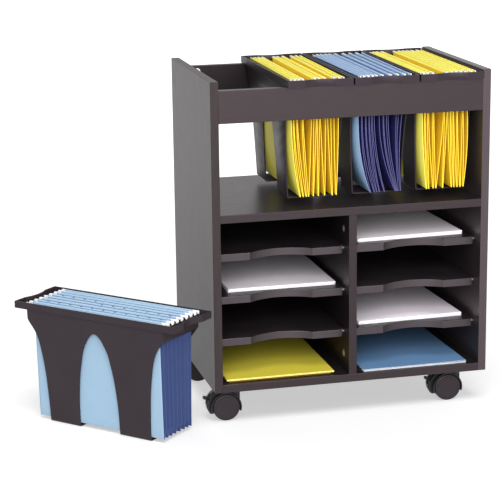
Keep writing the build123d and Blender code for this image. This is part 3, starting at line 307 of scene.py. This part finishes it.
CHARCOAL = (0.0105, 0.0081, 0.0090)
WARM = (1.0, 0.85, 0.93)
MAT = {
    "board_z": laminate("laminate_upright", CHARCOAL, (1.0, 1.0, 0.035), 0.34, 0.44),
    "board_x": laminate("laminate_level", CHARCOAL, (0.035, 1.0, 1.0), 0.34, 0.48),
    # a darker, less glossy copy of the laminate for the rear rail: painted shade
    "board_rear_painted_shade": laminate("laminate_rear_painted_shade", shade(CHARCOAL, 0.75), (0.035, 1.0, 1.0), 0.38, 0.26),
    # a lighter, glossier copy of the laminate for the right side panel: painted light
    "board_right_painted_light": laminate("laminate_right_painted_light", (0.0215, 0.0165, 0.0180), (1.0, 1.0, 0.035), 0.34, 0.80),
    # a much lighter copy of the laminate for the left side panel: painted light
    "board_left_painted_light": laminate("laminate_left_painted_light", (0.0290, 0.0222, 0.0232), (1.0, 1.0, 0.035), 0.36, 0.14, (1.0, 0.90, 0.92)),
    "back": laminate("back_board", (0.0045, 0.0040, 0.0042), (1.0, 1.0, 0.05), 0.8, 0.2),
    "tray": plastic("tray_plastic", (0.0100, 0.0077, 0.0087), 0.40, sheen=0.80, tint=WARM),
    "tub": plastic("tub_plastic", (0.0215, 0.0164, 0.0202), 0.42, sheen=0.18, tint=WARM),
    "hood": plastic("caster_black", (0.0045, 0.0043, 0.0048), 0.34, 1800.0, 0.06, sheen=0.35),
    "wheel": plastic("wheel_nylon", (0.0125, 0.0094, 0.0120), 0.36, 1800.0, 0.05, sheen=0.36, tint=WARM),
    "zinc": metal("zinc_plate", (0.75, 0.72, 0.64), 0.42),
    "pin": metal("pin_steel", (0.36, 0.34, 0.34), 0.5),
    "steel": metal("steel", (0.62, 0.62, 0.62), 0.3),
    "beech": card("beech", (0.56, 0.40, 0.24), 0.6, 0.15),
    "hook": plastic("hook_white", (0.80, 0.80, 0.79), 0.38, 2000.0, 0.04, 0.03),
    "yellow": card("folder_yellow", (0.92, 0.85, 0.125)),
    # outermost flap faces of the hung tubs: painted shade by place along the tub, with a painted glow on the yellow
    "yellow_face": card_with_painted_shade("folder_yellow_outside_painted_shade_and_glow", (0.90, 0.81, 0.12), 0.2),
    # faces below the yellow tops: a darker, deeper copy of the yellow card, painted shade
    "painted_shade_yellow": card("folder_yellow_painted_shade", (0.84, 0.58, 0.018)),
    "yellow_edge": card("folder_yellow_edge", (0.88, 0.69, 0.050)),
    "blue": card("folder_blue", (0.34, 0.48, 0.70)),
    # the blue outermost faces: a lighter copy of the blue card (painted light) with the same painted shade
    "blue_face": card_with_painted_shade("folder_blue_outside_painted_shade_and_light", (0.34, 0.53, 0.86)),
    # faces below the blue tops: a navy copy of the blue card, painted shade
    "painted_shade_blue": card("folder_blue_painted_shade", (0.024, 0.026, 0.15)),
    "blue_edge": card("folder_blue_edge", (0.098, 0.092, 0.225)),
    "light": card("folder_light_blue", (0.295, 0.42, 0.56)),
    # outermost faces of the floor tub's folders: a darker copy of the light blue card, painted shade
    "light_face": card("folder_light_blue_outside_painted_shade", (0.225, 0.335, 0.44)),
    # faces below the floor tub's tops and its gussets: a dark copy of the light blue card, painted shade
    "painted_shade_light_blue": card("folder_dark_blue_painted_shade", (0.017, 0.034, 0.115)),
    "light_edge": card("folder_dark_blue_edge", (0.036, 0.064, 0.19)),
    # tab slots: dark patches in painted shade standing in for the slots' openings
    "slot": card("slot_shadow", (0.016, 0.030, 0.085), 0.8),
    "slot_yellow_painted_shade": card("slot_yellow_painted_shade", (0.42, 0.27, 0.02), 0.8),
    "slot_blue_painted_shade": card("slot_blue_painted_shade", (0.06, 0.09, 0.24), 0.8),
    "white": card("paper_white", (0.86, 0.80, 0.86), 0.65, 0.03),
    # a lighter copy of the white paper for the top right stack: painted light
    "white_painted_light": card("paper_white_painted_light", (0.96, 0.91, 0.95), 0.65, 0.03),
    # a darker copy of the white paper for the middle left stack: painted shade
    "white_painted_shade": card("paper_white_painted_shade", (0.72, 0.675, 0.715), 0.65, 0.03),
    "paper_edge": card("paper_edge", (0.90, 0.89, 0.90), 0.65, 0.04),
    "cream_edge": card("cream_edge", (0.92, 0.82, 0.24), 0.65, 0.05),
    # the yellow stack's lower sheets: dark orange-brown, painted shade
    "paper_under_painted_shade": card("paper_under_painted_shade", (0.33, 0.17, 0.02), 0.65, 0.06),
    # insides of wide yellow folders: a deeper copy of the card colour with a painted glow
    "yellow_wide": card("folder_yellow_inside_painted_glow", (0.88, 0.62, 0.025), painted_glow=0.13),
    # narrow gaps between yellow folders: a dark copy of the card, painted shade
    "gap_painted_shade_yellow": card("folder_yellow_gap_painted_shade", (0.40, 0.25, 0.015)),
    # insides of wide blue folders: a copy of the blue card with a painted glow
    "blue_wide": card("folder_blue_inside_painted_glow", (0.155, 0.245, 0.43), painted_glow=0.13),
    # narrow gaps between blue folders: dark copies of the cards, painted shade
    "gap_painted_shade_blue": card("folder_blue_gap_painted_shade", (0.055, 0.075, 0.20)),
    "gap_painted_shade_light_blue": card("folder_light_blue_gap_painted_shade", (0.10, 0.16, 0.27)),
    "paper_yellow": card("paper_yellow", (0.53, 0.45, 0.040), 0.6, 0.04),
    "paper_blue": card("paper_blue", (0.098, 0.195, 0.350), 0.6, 0.05),
}


def paint(obj, key):
    obj.data.materials.clear()
    obj.data.materials.append(MAT[key])


# ------------------------------------------------------------------ helpers for pieces
def make_object(name, verts, faces, key, smooth=True):
    mesh = bpy.data.meshes.new(name)
    mesh.from_pydata([tuple(v) for v in verts], [], faces)
    mesh.validate()
    mesh.update()
    o = bpy.data.objects.new(name, mesh)
    scene.collection.objects.link(o)
    o.data.materials.append(MAT[key])
    if smooth:
        for p in o.data.polygons:
            p.use_smooth = True
    return o


def bevel(o, width, segments=2, angle=35.0):
    b = o.modifiers.new("edge rounding", "BEVEL")
    b.width = width
    b.segments = segments
    b.limit_method = "ANGLE"
    b.angle_limit = math.radians(angle)
    b.use_clamp_overlap = True
    b.harden_normals = True
    b.miter_outer = "MITER_ARC"
    return b


def refine_cad(node, width, segments=2, angle=35.0):
    """Rounds a moulded node's sharp edges: faces are merged flat first."""
    o = NODES[node]
    w = o.modifiers.new("join", "WELD")
    w.merge_threshold = 0.00002
    d = o.modifiers.new("flatten", "DECIMATE")
    d.decimate_type = "DISSOLVE"
    d.angle_limit = math.radians(1.0)
    bevel(o, width, segments, angle)
    return o


# ------------------------------------------------------------------ CAD nodes
# the side panels take lighter copies of the laminate: painted light
paint(NODES["left_side_panel"], "board_left_painted_light")
paint(NODES["right_side_panel"], "board_right_painted_light")
paint(NODES["centre_divider"], "board_z")
for name in ("bottom_panel", "middle_shelf", "front_rail"):
    paint(NODES[name], "board_x")
# the rear rail takes a darker copy of the laminate: painted shade
paint(NODES["rear_rail"], "board_rear_painted_shade")
paint(NODES["back_panel"], "back")
for side in ("left", "right"):
    for level in ("lower", "middle", "top"):
        paint(NODES[f"letter_shelf_{side}_{level}"], "tray")
paint(NODES["shelf_pins"], "pin")
paint(NODES["cam_locks"], "zinc")
paint(NODES["cam_bolts"], "steel")
paint(NODES["dowels"], "beech")
paint(NODES["caster_inserts"], "steel")
paint(NODES["caster_stems"], "steel")
for spot in ("front_left", "front_right", "rear_left", "rear_right"):
    paint(NODES[f"caster_hood_{spot}"], "hood")
    refine_cad(f"caster_hood_{spot}", 0.0007, 2, 30.0)
    paint(NODES[f"caster_axle_{spot}"], "steel")
    for end in ("front", "back"):
        paint(NODES[f"wheel_{spot}_{end}"], "wheel")
for spot in ("front_left", "front_right"):
    paint(NODES[f"brake_lever_{spot}"], "hood")
for i in (1, 2, 3, 4):
    paint(NODES[f"file_tub_{i}"], "tub")
    refine_cad(f"file_tub_{i}", 0.0006, 2, 30.0)


# ------------------------------------------------------------------ hanging folders
TOP_LEVEL = FLAP_TOP - 5.0
MID_LEVEL = 157.0
CARD = 0.42
END_CARD = 0.75


def smooth(t):
    t = min(1.0, max(0.0, t))
    return t * t * (3 - 2 * t)


def fan(number, v, u):
    """Across place of a folded top that hangs at v, by its place along the tub."""
    t = 0.5 + 0.5 * u / FOLDER_HALF
    (l0, r0), (l1, r1) = FAN[number]
    left, right = l0 + (l1 - l0) * t, r0 + (r1 - r0) * t
    return left + (right - left) * (v + 53.0) / 106.0


def spread(number, v, u, w):
    wide = v * (1.0 + SPREAD * smooth((w - 198.0) / 28.0))
    top = fan(number, v, u)
    far = 58.0 * top / max(58.0, abs(top))
    low = wide + (far - wide) * smooth((w - 190.0) / 36.0)
    return low + (top - far) * smooth((w - 229.5) / 3.0)


def reach(number, u, w):
    further = REACH[number][1 if u > 0 else 0]
    return u + math.copysign(further * smooth((w - 214.0) / 14.0) * smooth((abs(u) - 60.0) / 80.0), u)


LIFTS = {}


def flap_across(top, middle, end, power, bow, w, full):
    """Where one flap hangs across the tub at level w."""
    if full:
        low = top * 0.892
        if w >= 24.0:
            return top + (low - top) * (TOP_LEVEL - w) / (TOP_LEVEL - 24.0)
        return low + (end - low) * ((24.0 - w) / (24.0 - FLAP_FOLD - 0.6)) ** 1.5
    if w >= MID_LEVEL:
        return top + (middle - top) * smooth((TOP_LEVEL - w) / (TOP_LEVEL - MID_LEVEL))
    t = min(1.0, (MID_LEVEL - w) / (MID_LEVEL - FLAP_FOLD - 0.6))
    return middle + (end - middle) * t**power + bow * math.sin(math.pi * t)


def belly_across(top, end, w):
    """The outermost flap away from its ends, bellied out against the tub."""
    t = min(1.0, max(0.0, (TOP_LEVEL - w) / (TOP_LEVEL - FLAP_FOLD - 0.6)))
    return top + 0.2 + (end - top - 0.2) * t**4.9


def make_folders(number, keys, full):
    """Card flaps folded over their rods, open or gusseted at the ends.
    keys: folded top, shaded face (painted shade), card edge, outermost face (painted shade),
    narrow gap (painted shade), inside of a wide folder (painted glow; painted shade on the floor tub), gusset (or None;
    painted shade)."""
    place = tub_place(number)
    outer_key, shade_key, edge_key, face_key, gap_key, wide_key, gusset_key = keys
    rng = random.Random(100 + number)
    verts, faces, slots = [], [], []
    gverts, gfaces = [], []
    folders = FOLDERS[number]
    last = len(folders) - 1
    hem = 2.3
    levels = 30
    for index, (a, b, la, lb, f, power, bow) in enumerate(folders):
        shift = rng.uniform(-0.35, 0.35)
        length = FOLDER_HALF - rng.uniform(0.0, 0.7)
        lift = rng.uniform(-0.3, 0.2)
        phase = rng.uniform(0, 6.28)
        LIFTS[number, index] = shift, lift
        # path of the card: (kind, across-or-None, level); the flaps' across depends on the
        # place along the tub, so they are evaluated per column
        path = []
        for w in (12.0, 7.5, 4.2, 2.2):
            path.append(("fixed", a + hem, FLAP_TOP - w))
        for deg in (40, 75, 110, 145):
            ang = math.radians(deg)
            path.append(("fixed", a + hem / 2 + hem / 2 * math.cos(ang), FLAP_TOP - 1.15 + 1.15 * math.sin(ang)))
        path.append(("fixed", a, FLAP_TOP - 2.2))
        for k in range(levels + 1):
            path.append(("front", None, TOP_LEVEL + (FLAP_FOLD + 0.6 - TOP_LEVEL) * k / levels))
        for deg in (215, 250, 290, 325):
            ang = math.radians(deg)
            path.append(("fixed", f + 0.62 * math.cos(ang), FLAP_FOLD + 0.6 + 0.6 * math.sin(ang)))
        for k in range(levels, -1, -1):
            path.append(("back", None, TOP_LEVEL + (FLAP_FOLD + 0.6 - TOP_LEVEL) * k / levels))
        path.append(("fixed", b, FLAP_TOP - 2.2))
        for deg in (35, 70, 105, 140):
            ang = math.radians(deg)
            path.append(("fixed", b - hem / 2 + hem / 2 * math.cos(ang), FLAP_TOP - 1.15 + 1.15 * math.sin(ang)))
        for w in (2.2, 4.2, 7.5, 12.0):
            path.append(("fixed", b - hem, FLAP_TOP - w))
        rows = len(path)
        stations = [-length, -length + 2.5, -length + 7, -length + 14, -length + 22, -length + 31, -length + 42]
        stations += [-length + 42 + (2 * length - 84) * k / 12 for k in range(1, 12)]
        stations += [-x for x in reversed(stations[:7])]
        base = len(verts)
        columns = []
        for u in stations:
            inward = smooth((length - abs(u)) / 40.0)
            pts = []
            for kind, v, w in path:
                free = max(0.0, math.sin(math.pi * min(1.0, max(0.0, (w - FLAP_FOLD) / 222.0))))
                if kind == "front":
                    v = flap_across(a, la, f - 0.62, power, bow, w, full)
                    if index == 0 and not full:
                        v += (belly_across(a, f - 0.62, w) - v) * inward
                elif kind == "back":
                    v = flap_across(b, lb, f + 0.62, power, bow, w, full)
                wave = 0.22 * free * math.sin(u * 0.021 + phase)
                pts.append((spread(number, v, u, w) + wave, w))
            columns.append(pts)
        for u, pts in zip(stations, columns):
            near_end = length - abs(u) < 3.0
            half = (END_CARD if near_end else CARD) / 2
            offs = []
            for r in range(rows):
                p0, p1 = pts[max(0, r - 1)], pts[min(rows - 1, r + 1)]
                dv, dw = p1[0] - p0[0], p1[1] - p0[1]
                norm = math.hypot(dv, dw) or 1.0
                offs.append((dw / norm, -dv / norm))
            for side in (1, -1):
                for r in range(rows):
                    v, w = pts[r]
                    nv, nw = offs[r]
                    verts.append(place @ Vector((reach(number, u, w) + shift, v + side * half * nv, w + side * half * nw + lift)))
        cols = len(stations)
        per = rows * 2
        for c in range(cols - 1):
            for side in (0, 1):
                for r in range(rows - 1):
                    i0 = base + c * per + side * rows + r
                    w = path[r][2]
                    kind = path[r][0]
                    outward = side == 0
                    high = w > FLAP_TOP - 2.1
                    opened = not full and b - a >= 9.0
                    narrow = w > FLAP_TOP - 12.5 and (outward or not opened)
                    open_face = outward and ((index == 0 and kind == "front") or (index == last and kind == "back"))
                    hem_row = r <= 3 or r >= rows - 4
                    wide = opened and w > FLAP_TOP - 34.0 and (hem_row or not outward)
                    # slots 1, 3 and 4 carry painted shade (shaded faces, outermost faces, narrow gaps) and slot 5 a
                    # painted glow on the hung tubs (insides of wide folders)
                    slot = 0 if high else (3 if open_face else (5 if wide else (4 if narrow else 1)))
                    quad = (i0, i0 + per, i0 + per + 1, i0 + 1) if side == 0 else (i0, i0 + 1, i0 + per + 1, i0 + per)
                    faces.append(quad)
                    slots.append(slot)
        # rims: both ends along the path, and the two hems
        for c in (0, cols - 1):
            for r in range(rows - 1):
                i0 = base + c * per + r
                quad = (i0, i0 + 1, i0 + rows + 1, i0 + rows)
                faces.append(quad if c == 0 else tuple(reversed(quad)))
                slots.append(0 if path[r][2] > FLAP_TOP - 2.3 else 2)
        for r in (0, rows - 1):
            for c in range(cols - 1):
                i0 = base + c * per + r
                quad = (i0, i0 + rows, i0 + rows + per, i0 + per)
                faces.append(quad if r == 0 else tuple(reversed(quad)))
                slots.append(0)
        if gusset_key:
            for s in (-1, 1):
                n = 30
                high = FLAP_TOP - 9.0
                pleats = max(2, round((b - a) / 3.4))
                across = pleats * 2
                gb = len(gverts)
                for k in range(n + 1):
                    w = high + (FLAP_FOLD + 1.4 - high) * k / n
                    va = flap_across(a, la, f - 0.62, power, bow, w, full) + 0.4
                    vb = flap_across(b, lb, f + 0.62, power, bow, w, full) - 0.4
                    free = max(0.0, math.sin(math.pi * min(1.0, max(0.0, (w - FLAP_FOLD) / 222.0))))
                    wave = 0.22 * free * math.sin((s * length) * 0.021 + phase)
                    for j in range(across + 1):
                        q = j / across
                        inward = 0.5 if j % 2 == 0 else 0.5 + min(2.2, 0.8 * max(0.0, vb - va) / pleats)
                        across_v = spread(number, va + max(0.0, vb - va) * q, s * length, w)
                        gverts.append(place @ Vector((reach(number, s * (length - inward), w) + shift, across_v + wave, w + lift)))
                for k in range(n):
                    for j in range(across):
                        i0 = gb + k * (across + 1) + j
                        gfaces.append((i0, i0 + 1, i0 + across + 2, i0 + across + 1))
    flaps = make_object(f"folder_flaps_{number}", verts, faces, outer_key)
    flaps.data.materials.append(MAT[shade_key])
    flaps.data.materials.append(MAT[edge_key])
    flaps.data.materials.append(MAT[face_key])
    flaps.data.materials.append(MAT[gap_key])
    flaps.data.materials.append(MAT[wide_key])
    for poly, slot in zip(flaps.data.polygons, slots):
        poly.material_index = slot
        poly.use_smooth = slot != 2
    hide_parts(f"hanging_folders_{number}")
    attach(flaps, f"folders_{number}")
    if gusset_key:
        gussets = make_object(f"folder_gussets_{number}", gverts, gfaces, gusset_key, smooth=False)
        sol = gussets.modifiers.new("card", "SOLIDIFY")
        sol.thickness = 0.0003
        sol.offset = 0.0
        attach(gussets, f"folders_{number}")
    return flaps


def hook_outline():
    """Side outline of a hook end: (along, up), for the end on the +along side. The rod is
    low where it crosses the tub's rail and ends in a rounded tip."""
    return [
        (146.0, 235.3), (157.4, 235.3), (157.8, 235.55), (161.2, 235.55), (161.4, 233.2),
        (162.0, 232.5), (163.9, 232.5), (164.8, 233.2), (165.2, 234.4), (165.2, 237.4), (164.6, 238.7),
        (163.3, 239.4), (147.6, 239.0), (146.4, 238.4), (146.0, 237.4),
    ]


def make_hooks(number):
    place = tub_place(number)
    outline = hook_outline()
    bm = bmesh.new()
    rng = random.Random(7 * number)
    half = 0.85
    for a, b, *_ in FOLDERS[number]:
        for edge, inner in ((a, 0.6), (b, -0.6)):
            for s in (-1, 1):
                v = fan(number, edge, s * 156.0) + inner
                jitter = rng.uniform(-0.2, 0.2)
                du = rng.uniform(-0.35, 0.15)
                dw = rng.uniform(-0.15, 0.15)
                ring = []
                for side in (-half, half):
                    ring.append([bm.verts.new(place @ Vector((s * u + du, v + jitter + side, w + dw))) for u, w in outline])
                front, back = ring
                n = len(outline)
                bm.faces.new(front)
                bm.faces.new(list(reversed(back)))
                for i in range(n):
                    j = (i + 1) % n
                    bm.faces.new((front[i], back[i], back[j], front[j]))
    bmesh.ops.recalc_face_normals(bm, faces=bm.faces)
    mesh = bpy.data.meshes.new(f"folder_hooks_{number}")
    bm.to_mesh(mesh)
    bm.free()
    o = bpy.data.objects.new(f"folder_hooks_{number}", mesh)
    scene.collection.objects.link(o)
    o.data.materials.append(MAT["hook"])
    bevel(o, 0.00045, 2, 30.0)
    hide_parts(f"hanger_rods_{number}")
    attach(o, f"folders_{number}")
    return o


def make_slots(number, rows, key, long, wide):
    """Tab slots in the folded tops, drawn as flat dark patches of painted shade just above the card: rows of (folder,
    flap, first, last).
    """
    place = tub_place(number)
    verts, faces = [], []
    for index, side, first, last in rows:
        edge = FOLDERS[number][index][0 if side < 0 else 1]
        shift, lift = LIFTS[number, index]
        for k in range(first, last + 1):
            u = -129.5 + k * 26.7 + shift
            v = fan(number, edge, u) - side * 1.15
            i0 = len(verts)
            for du, dv in ((-1, -0.6), (-0.6, -1), (0.6, -1), (1, -0.6), (1, 0.6), (0.6, 1), (-0.6, 1), (-1, 0.6)):
                verts.append(place @ Vector((u + du * long / 2, v + dv * wide / 2, FLAP_TOP + lift + 0.27)))
            faces.append(tuple(range(i0, i0 + 8)))
    o = make_object(f"folder_slots_{number}", verts, faces, key, smooth=False)
    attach(o, f"folders_{number}")
    return o


FOLDER_LOOKS = {
    1: ("yellow", "painted_shade_yellow", "yellow_edge", "yellow_face", "gap_painted_shade_yellow", "yellow_wide", None),
    2: ("blue", "painted_shade_blue", "blue_edge", "blue_face", "gap_painted_shade_blue", "blue_wide", None),
    3: ("yellow", "painted_shade_yellow", "yellow_edge", "yellow_face", "gap_painted_shade_yellow", "yellow_wide", None),
    4: ("light", "painted_shade_light_blue", "light_edge", "light_face", "gap_painted_shade_light_blue", "gap_painted_shade_light_blue", "painted_shade_light_blue"),
}
for number, keys in FOLDER_LOOKS.items():
    make_folders(number, keys, full=number == 4)
    make_hooks(number)
    count = len(FOLDERS[number])
    if number == 4:
        make_slots(number, [(1, 1, 0, 10), (4, 1, 0, 3), (3, 1, 4, 10)], "slot", 5.4, 3.0)
    else:
        rows = [(i, side, 0, 10) for i in range(count) for side in (-1, 1)]
        make_slots(number, rows, "slot_blue_painted_shade" if number == 2 else "slot_yellow_painted_shade", 3.6, 0.8)


# ------------------------------------------------------------------ paper stacks
def make_stack(node, body, top_key, edge_key, under=None, curl=0.0):
    """Loose sheets. under: (how thick, how far in, material) of the part below them, set in
    under the top sheets; the dark orange-brown given for it is painted shade.
    curl: how far the upper sheets stand off at the right front corner."""
    x, y, wide, deep, thick, turn, level = PAPERS[node]
    rng = random.Random(node)
    low, inset, under_key = under or (0.0, 0.0, edge_key)
    sheets = max(7, int(round(thick / 0.45)))
    pitch = (thick - curl) / sheets
    w0, d0 = wide - 2.6, deep - 2.6
    verts, faces, slots = [], [], []
    for i in range(sheets):
        below = (i + 1) * pitch <= low + 0.001
        tuck = inset if below else 0.0
        dx, dy = rng.uniform(-0.9, 0.9), rng.uniform(-0.9, 0.9)
        if i == sheets - 1:
            dx = dy = 0.0
        rot = math.radians(turn + rng.uniform(-0.16, 0.16))
        lo = level + i * pitch + 0.02
        hi = level + (i + 1) * pitch - (0.06 if i < sheets - 1 else 0.15)
        off = curl if i >= sheets * 0.55 else 0.0
        nx, ny = 14, 14
        base = len(verts)
        for z in (lo, hi):
            for r in range(ny + 1):
                for c in range(nx + 1):
                    px = (c / nx - 0.5) * (w0 - 2 * tuck) + dx
                    py = (r / ny - 0.5) * (d0 - 2 * tuck) + dy
                    gx = math.cos(rot) * px - math.sin(rot) * py
                    gy = math.sin(rot) * px + math.cos(rot) * py
                    up = off * smooth((c / nx - 0.62) / 0.38) * smooth(1.0 - r / ny * 2.2)
                    verts.append(world(x + gx, y + gy, z + up))
        row = nx + 1
        sheet = (nx + 1) * (ny + 1)
        side_slot = 2 if below else 1
        for r in range(ny):
            for c in range(nx):
                i0 = base + r * row + c
                faces.append((i0, i0 + row, i0 + row + 1, i0 + 1))
                j0 = i0 + sheet
                faces.append((j0, j0 + 1, j0 + row + 1, j0 + row))
                slots += [side_slot, 2 if below else 0]
        for c in range(nx):
            a0, b0 = base + c, base + ny * row + c
            faces.append((a0, a0 + 1, a0 + 1 + sheet, a0 + sheet))
            faces.append((b0 + 1, b0, b0 + sheet, b0 + 1 + sheet))
            slots += [side_slot, side_slot]
        for r in range(ny):
            a0, b0 = base + r * row, base + r * row + nx
            faces.append((a0 + row, a0, a0 + sheet, a0 + row + sheet))
            faces.append((b0, b0 + row, b0 + row + sheet, b0 + sheet))
            slots += [side_slot, side_slot]
    o = make_object(f"{node}_sheets", verts, faces, top_key, smooth=False)
    o.data.materials.append(MAT[edge_key])
    o.data.materials.append(MAT[under_key])
    for poly, slot in zip(o.data.polygons, slots):
        poly.material_index = slot
    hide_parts(node)
    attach(o, body)
    return o


# the middle left and top right stacks take a darker and a lighter copy of the white paper: painted shade and painted
# light
make_stack("paper_left_middle", "paper_left_middle_stack", "white_painted_shade", "paper_edge")
make_stack("paper_right_top", "paper_right_top_stack", "white_painted_light", "paper_edge")
make_stack("paper_right_lower", "paper_right_lower_stack", "white", "paper_edge")
# the yellow stack's lower sheets are set in and drawn dark orange-brown: painted shade
make_stack("paper_bottom_left", "paper_bottom_left_stack", "paper_yellow", "cream_edge", (3.6, 4.5, "paper_under_painted_shade"))
make_stack("paper_bottom_right", "paper_bottom_right_stack", "paper_blue", "paper_edge", curl=0.9)


# ------------------------------------------------------------------ floor, light, camera
def studio_floor():
    """White floor that stays white into the distance."""
    m, n, l, b = new_material("studio_floor")
    noise = stretched_noise(n, l, 3.0, 2.0)
    a = ramp(n, l, noise.outputs["Fac"], [(0.3, (0.74, 0.74, 0.74)), (0.7, (0.76, 0.76, 0.76))])
    l.new(a.outputs["Color"], b.inputs["Base Color"])
    b.inputs["Roughness"].default_value = 0.9
    b.inputs["Specular IOR Level"].default_value = 0.05
    coord = n.new("ShaderNodeTexCoord")
    length = n.new("ShaderNodeVectorMath")
    length.operation = "LENGTH"
    l.new(coord.outputs["Object"], length.inputs[0])
    glow = grey_range(n, l, length.outputs["Value"], 0.52, 0.84, 0.8, 3.0)
    b.inputs["Emission Color"].default_value = (1.0, 1.0, 1.0, 1.0)
    l.new(glow.outputs["Result"], b.inputs["Emission Strength"])
    mesh = bpy.data.meshes.new("studio_floor")
    s = 30.0
    mesh.from_pydata([(-s, -s, 0), (s, -s, 0), (s, s, 0), (-s, s, 0)], [], [(0, 1, 2, 3)])
    o = bpy.data.objects.new("studio_floor", mesh)
    scene.collection.objects.link(o)
    o.data.materials.append(m)
    return o


def area_light(name, place, target, size, power, colour=(1, 1, 1)):
    data = bpy.data.lights.new(name, "AREA")
    data.shape = "RECTANGLE"
    data.size, data.size_y = size
    data.energy = power
    data.color = colour
    o = bpy.data.objects.new(name, data)
    o.location = place
    o.rotation_euler = (Vector(target) - Vector(place)).to_track_quat("-Z", "Y").to_euler()
    scene.collection.objects.link(o)
    return o


floor = studio_floor()
world_data = bpy.data.worlds.new("studio")
world_data.use_nodes = True
wn, wl = world_data.node_tree.nodes, world_data.node_tree.links
back = wn["Background"]
back.inputs["Color"].default_value = (1.0, 1.0, 1.0, 1.0)
# a white backdrop: brightest low down behind the cart, and white all round at the horizon
direction = wn.new("ShaderNodeTexCoord")
parts = wn.new("ShaderNodeSeparateXYZ")
wl.new(direction.outputs["Generated"], parts.inputs["Vector"])
behind = grey_range(wn, wl, parts.outputs["Y"], 0.0, 1.0, 0.35, 0.85)
low_down = grey_range(wn, wl, parts.outputs["Z"], 1.0, 0.0, 0.30, 0.75)
product = wn.new("ShaderNodeMath")
product.operation = "MULTIPLY"
wl.new(behind.outputs["Result"], product.inputs[0])
wl.new(low_down.outputs["Result"], product.inputs[1])
horizon = grey_range(wn, wl, parts.outputs["Z"], 1.0, 0.0, 0.06, 0.16)
whiter = wn.new("ShaderNodeMath")
whiter.operation = "MAXIMUM"
wl.new(product.outputs["Value"], whiter.inputs[0])
wl.new(horizon.outputs["Result"], whiter.inputs[1])
strength = grey_range(wn, wl, whiter.outputs["Value"], 0.27, 0.98, 0.0, 1.0)
wl.new(strength.outputs["Result"], back.inputs["Strength"])
scene.world = world_data

sun_data = bpy.data.lights.new("key", "SUN")
sun_data.energy = 1.5
sun_data.angle = math.radians(30)
sun = bpy.data.objects.new("key", sun_data)
sun.rotation_euler = Vector((-0.06, -0.43, 0.90)).to_track_quat("Z", "Y").to_euler()
scene.collection.objects.link(sun)
front = area_light("front", (-0.35, -3.85, 2.05), (0.05, 0.0, 0.33), (4.2, 2.7), 292.0)
# the front light fills the shelves without washing out the shadow on the floor
unlit = bpy.data.collections.new("not lit by the front light")
unlit.objects.link(floor)
unlit.collection_objects[0].light_linking.link_state = "EXCLUDE"
front.light_linking.receiver_collection = unlit

cam_data = bpy.data.cameras.new("camera")
cam_data.sensor_width = 36.0
cam_data.lens = 1789.4 / 500.0 * 36.0
cam_data.clip_end = 100.0
cam = bpy.data.objects.new("camera", cam_data)
scene.collection.objects.link(cam)
yaw, pitch, roll = 0.24009, 0.24175, -0.01274
right = Vector((math.cos(yaw), -math.sin(yaw), 0))
level = Vector((math.sin(yaw), math.cos(yaw), 0))
upright = Vector((0, 0, 1))
look = level * math.cos(pitch) - upright * math.sin(pitch)
up = upright * math.cos(pitch) + level * math.sin(pitch)
side = right * math.cos(roll) + up * math.sin(roll)
top = up * math.cos(roll) - right * math.sin(roll)
turn = Matrix((side, top, -look)).transposed().to_4x4()
cam.matrix_world = Matrix.Translation(Vector((-0.8150, -3.3602, 1.1698))) @ turn
scene.camera = cam

scene.view_settings.view_transform = "Standard"
scene.view_settings.look = "None"
scene.view_settings.exposure = 0.0
scene.view_settings.gamma = 1.0
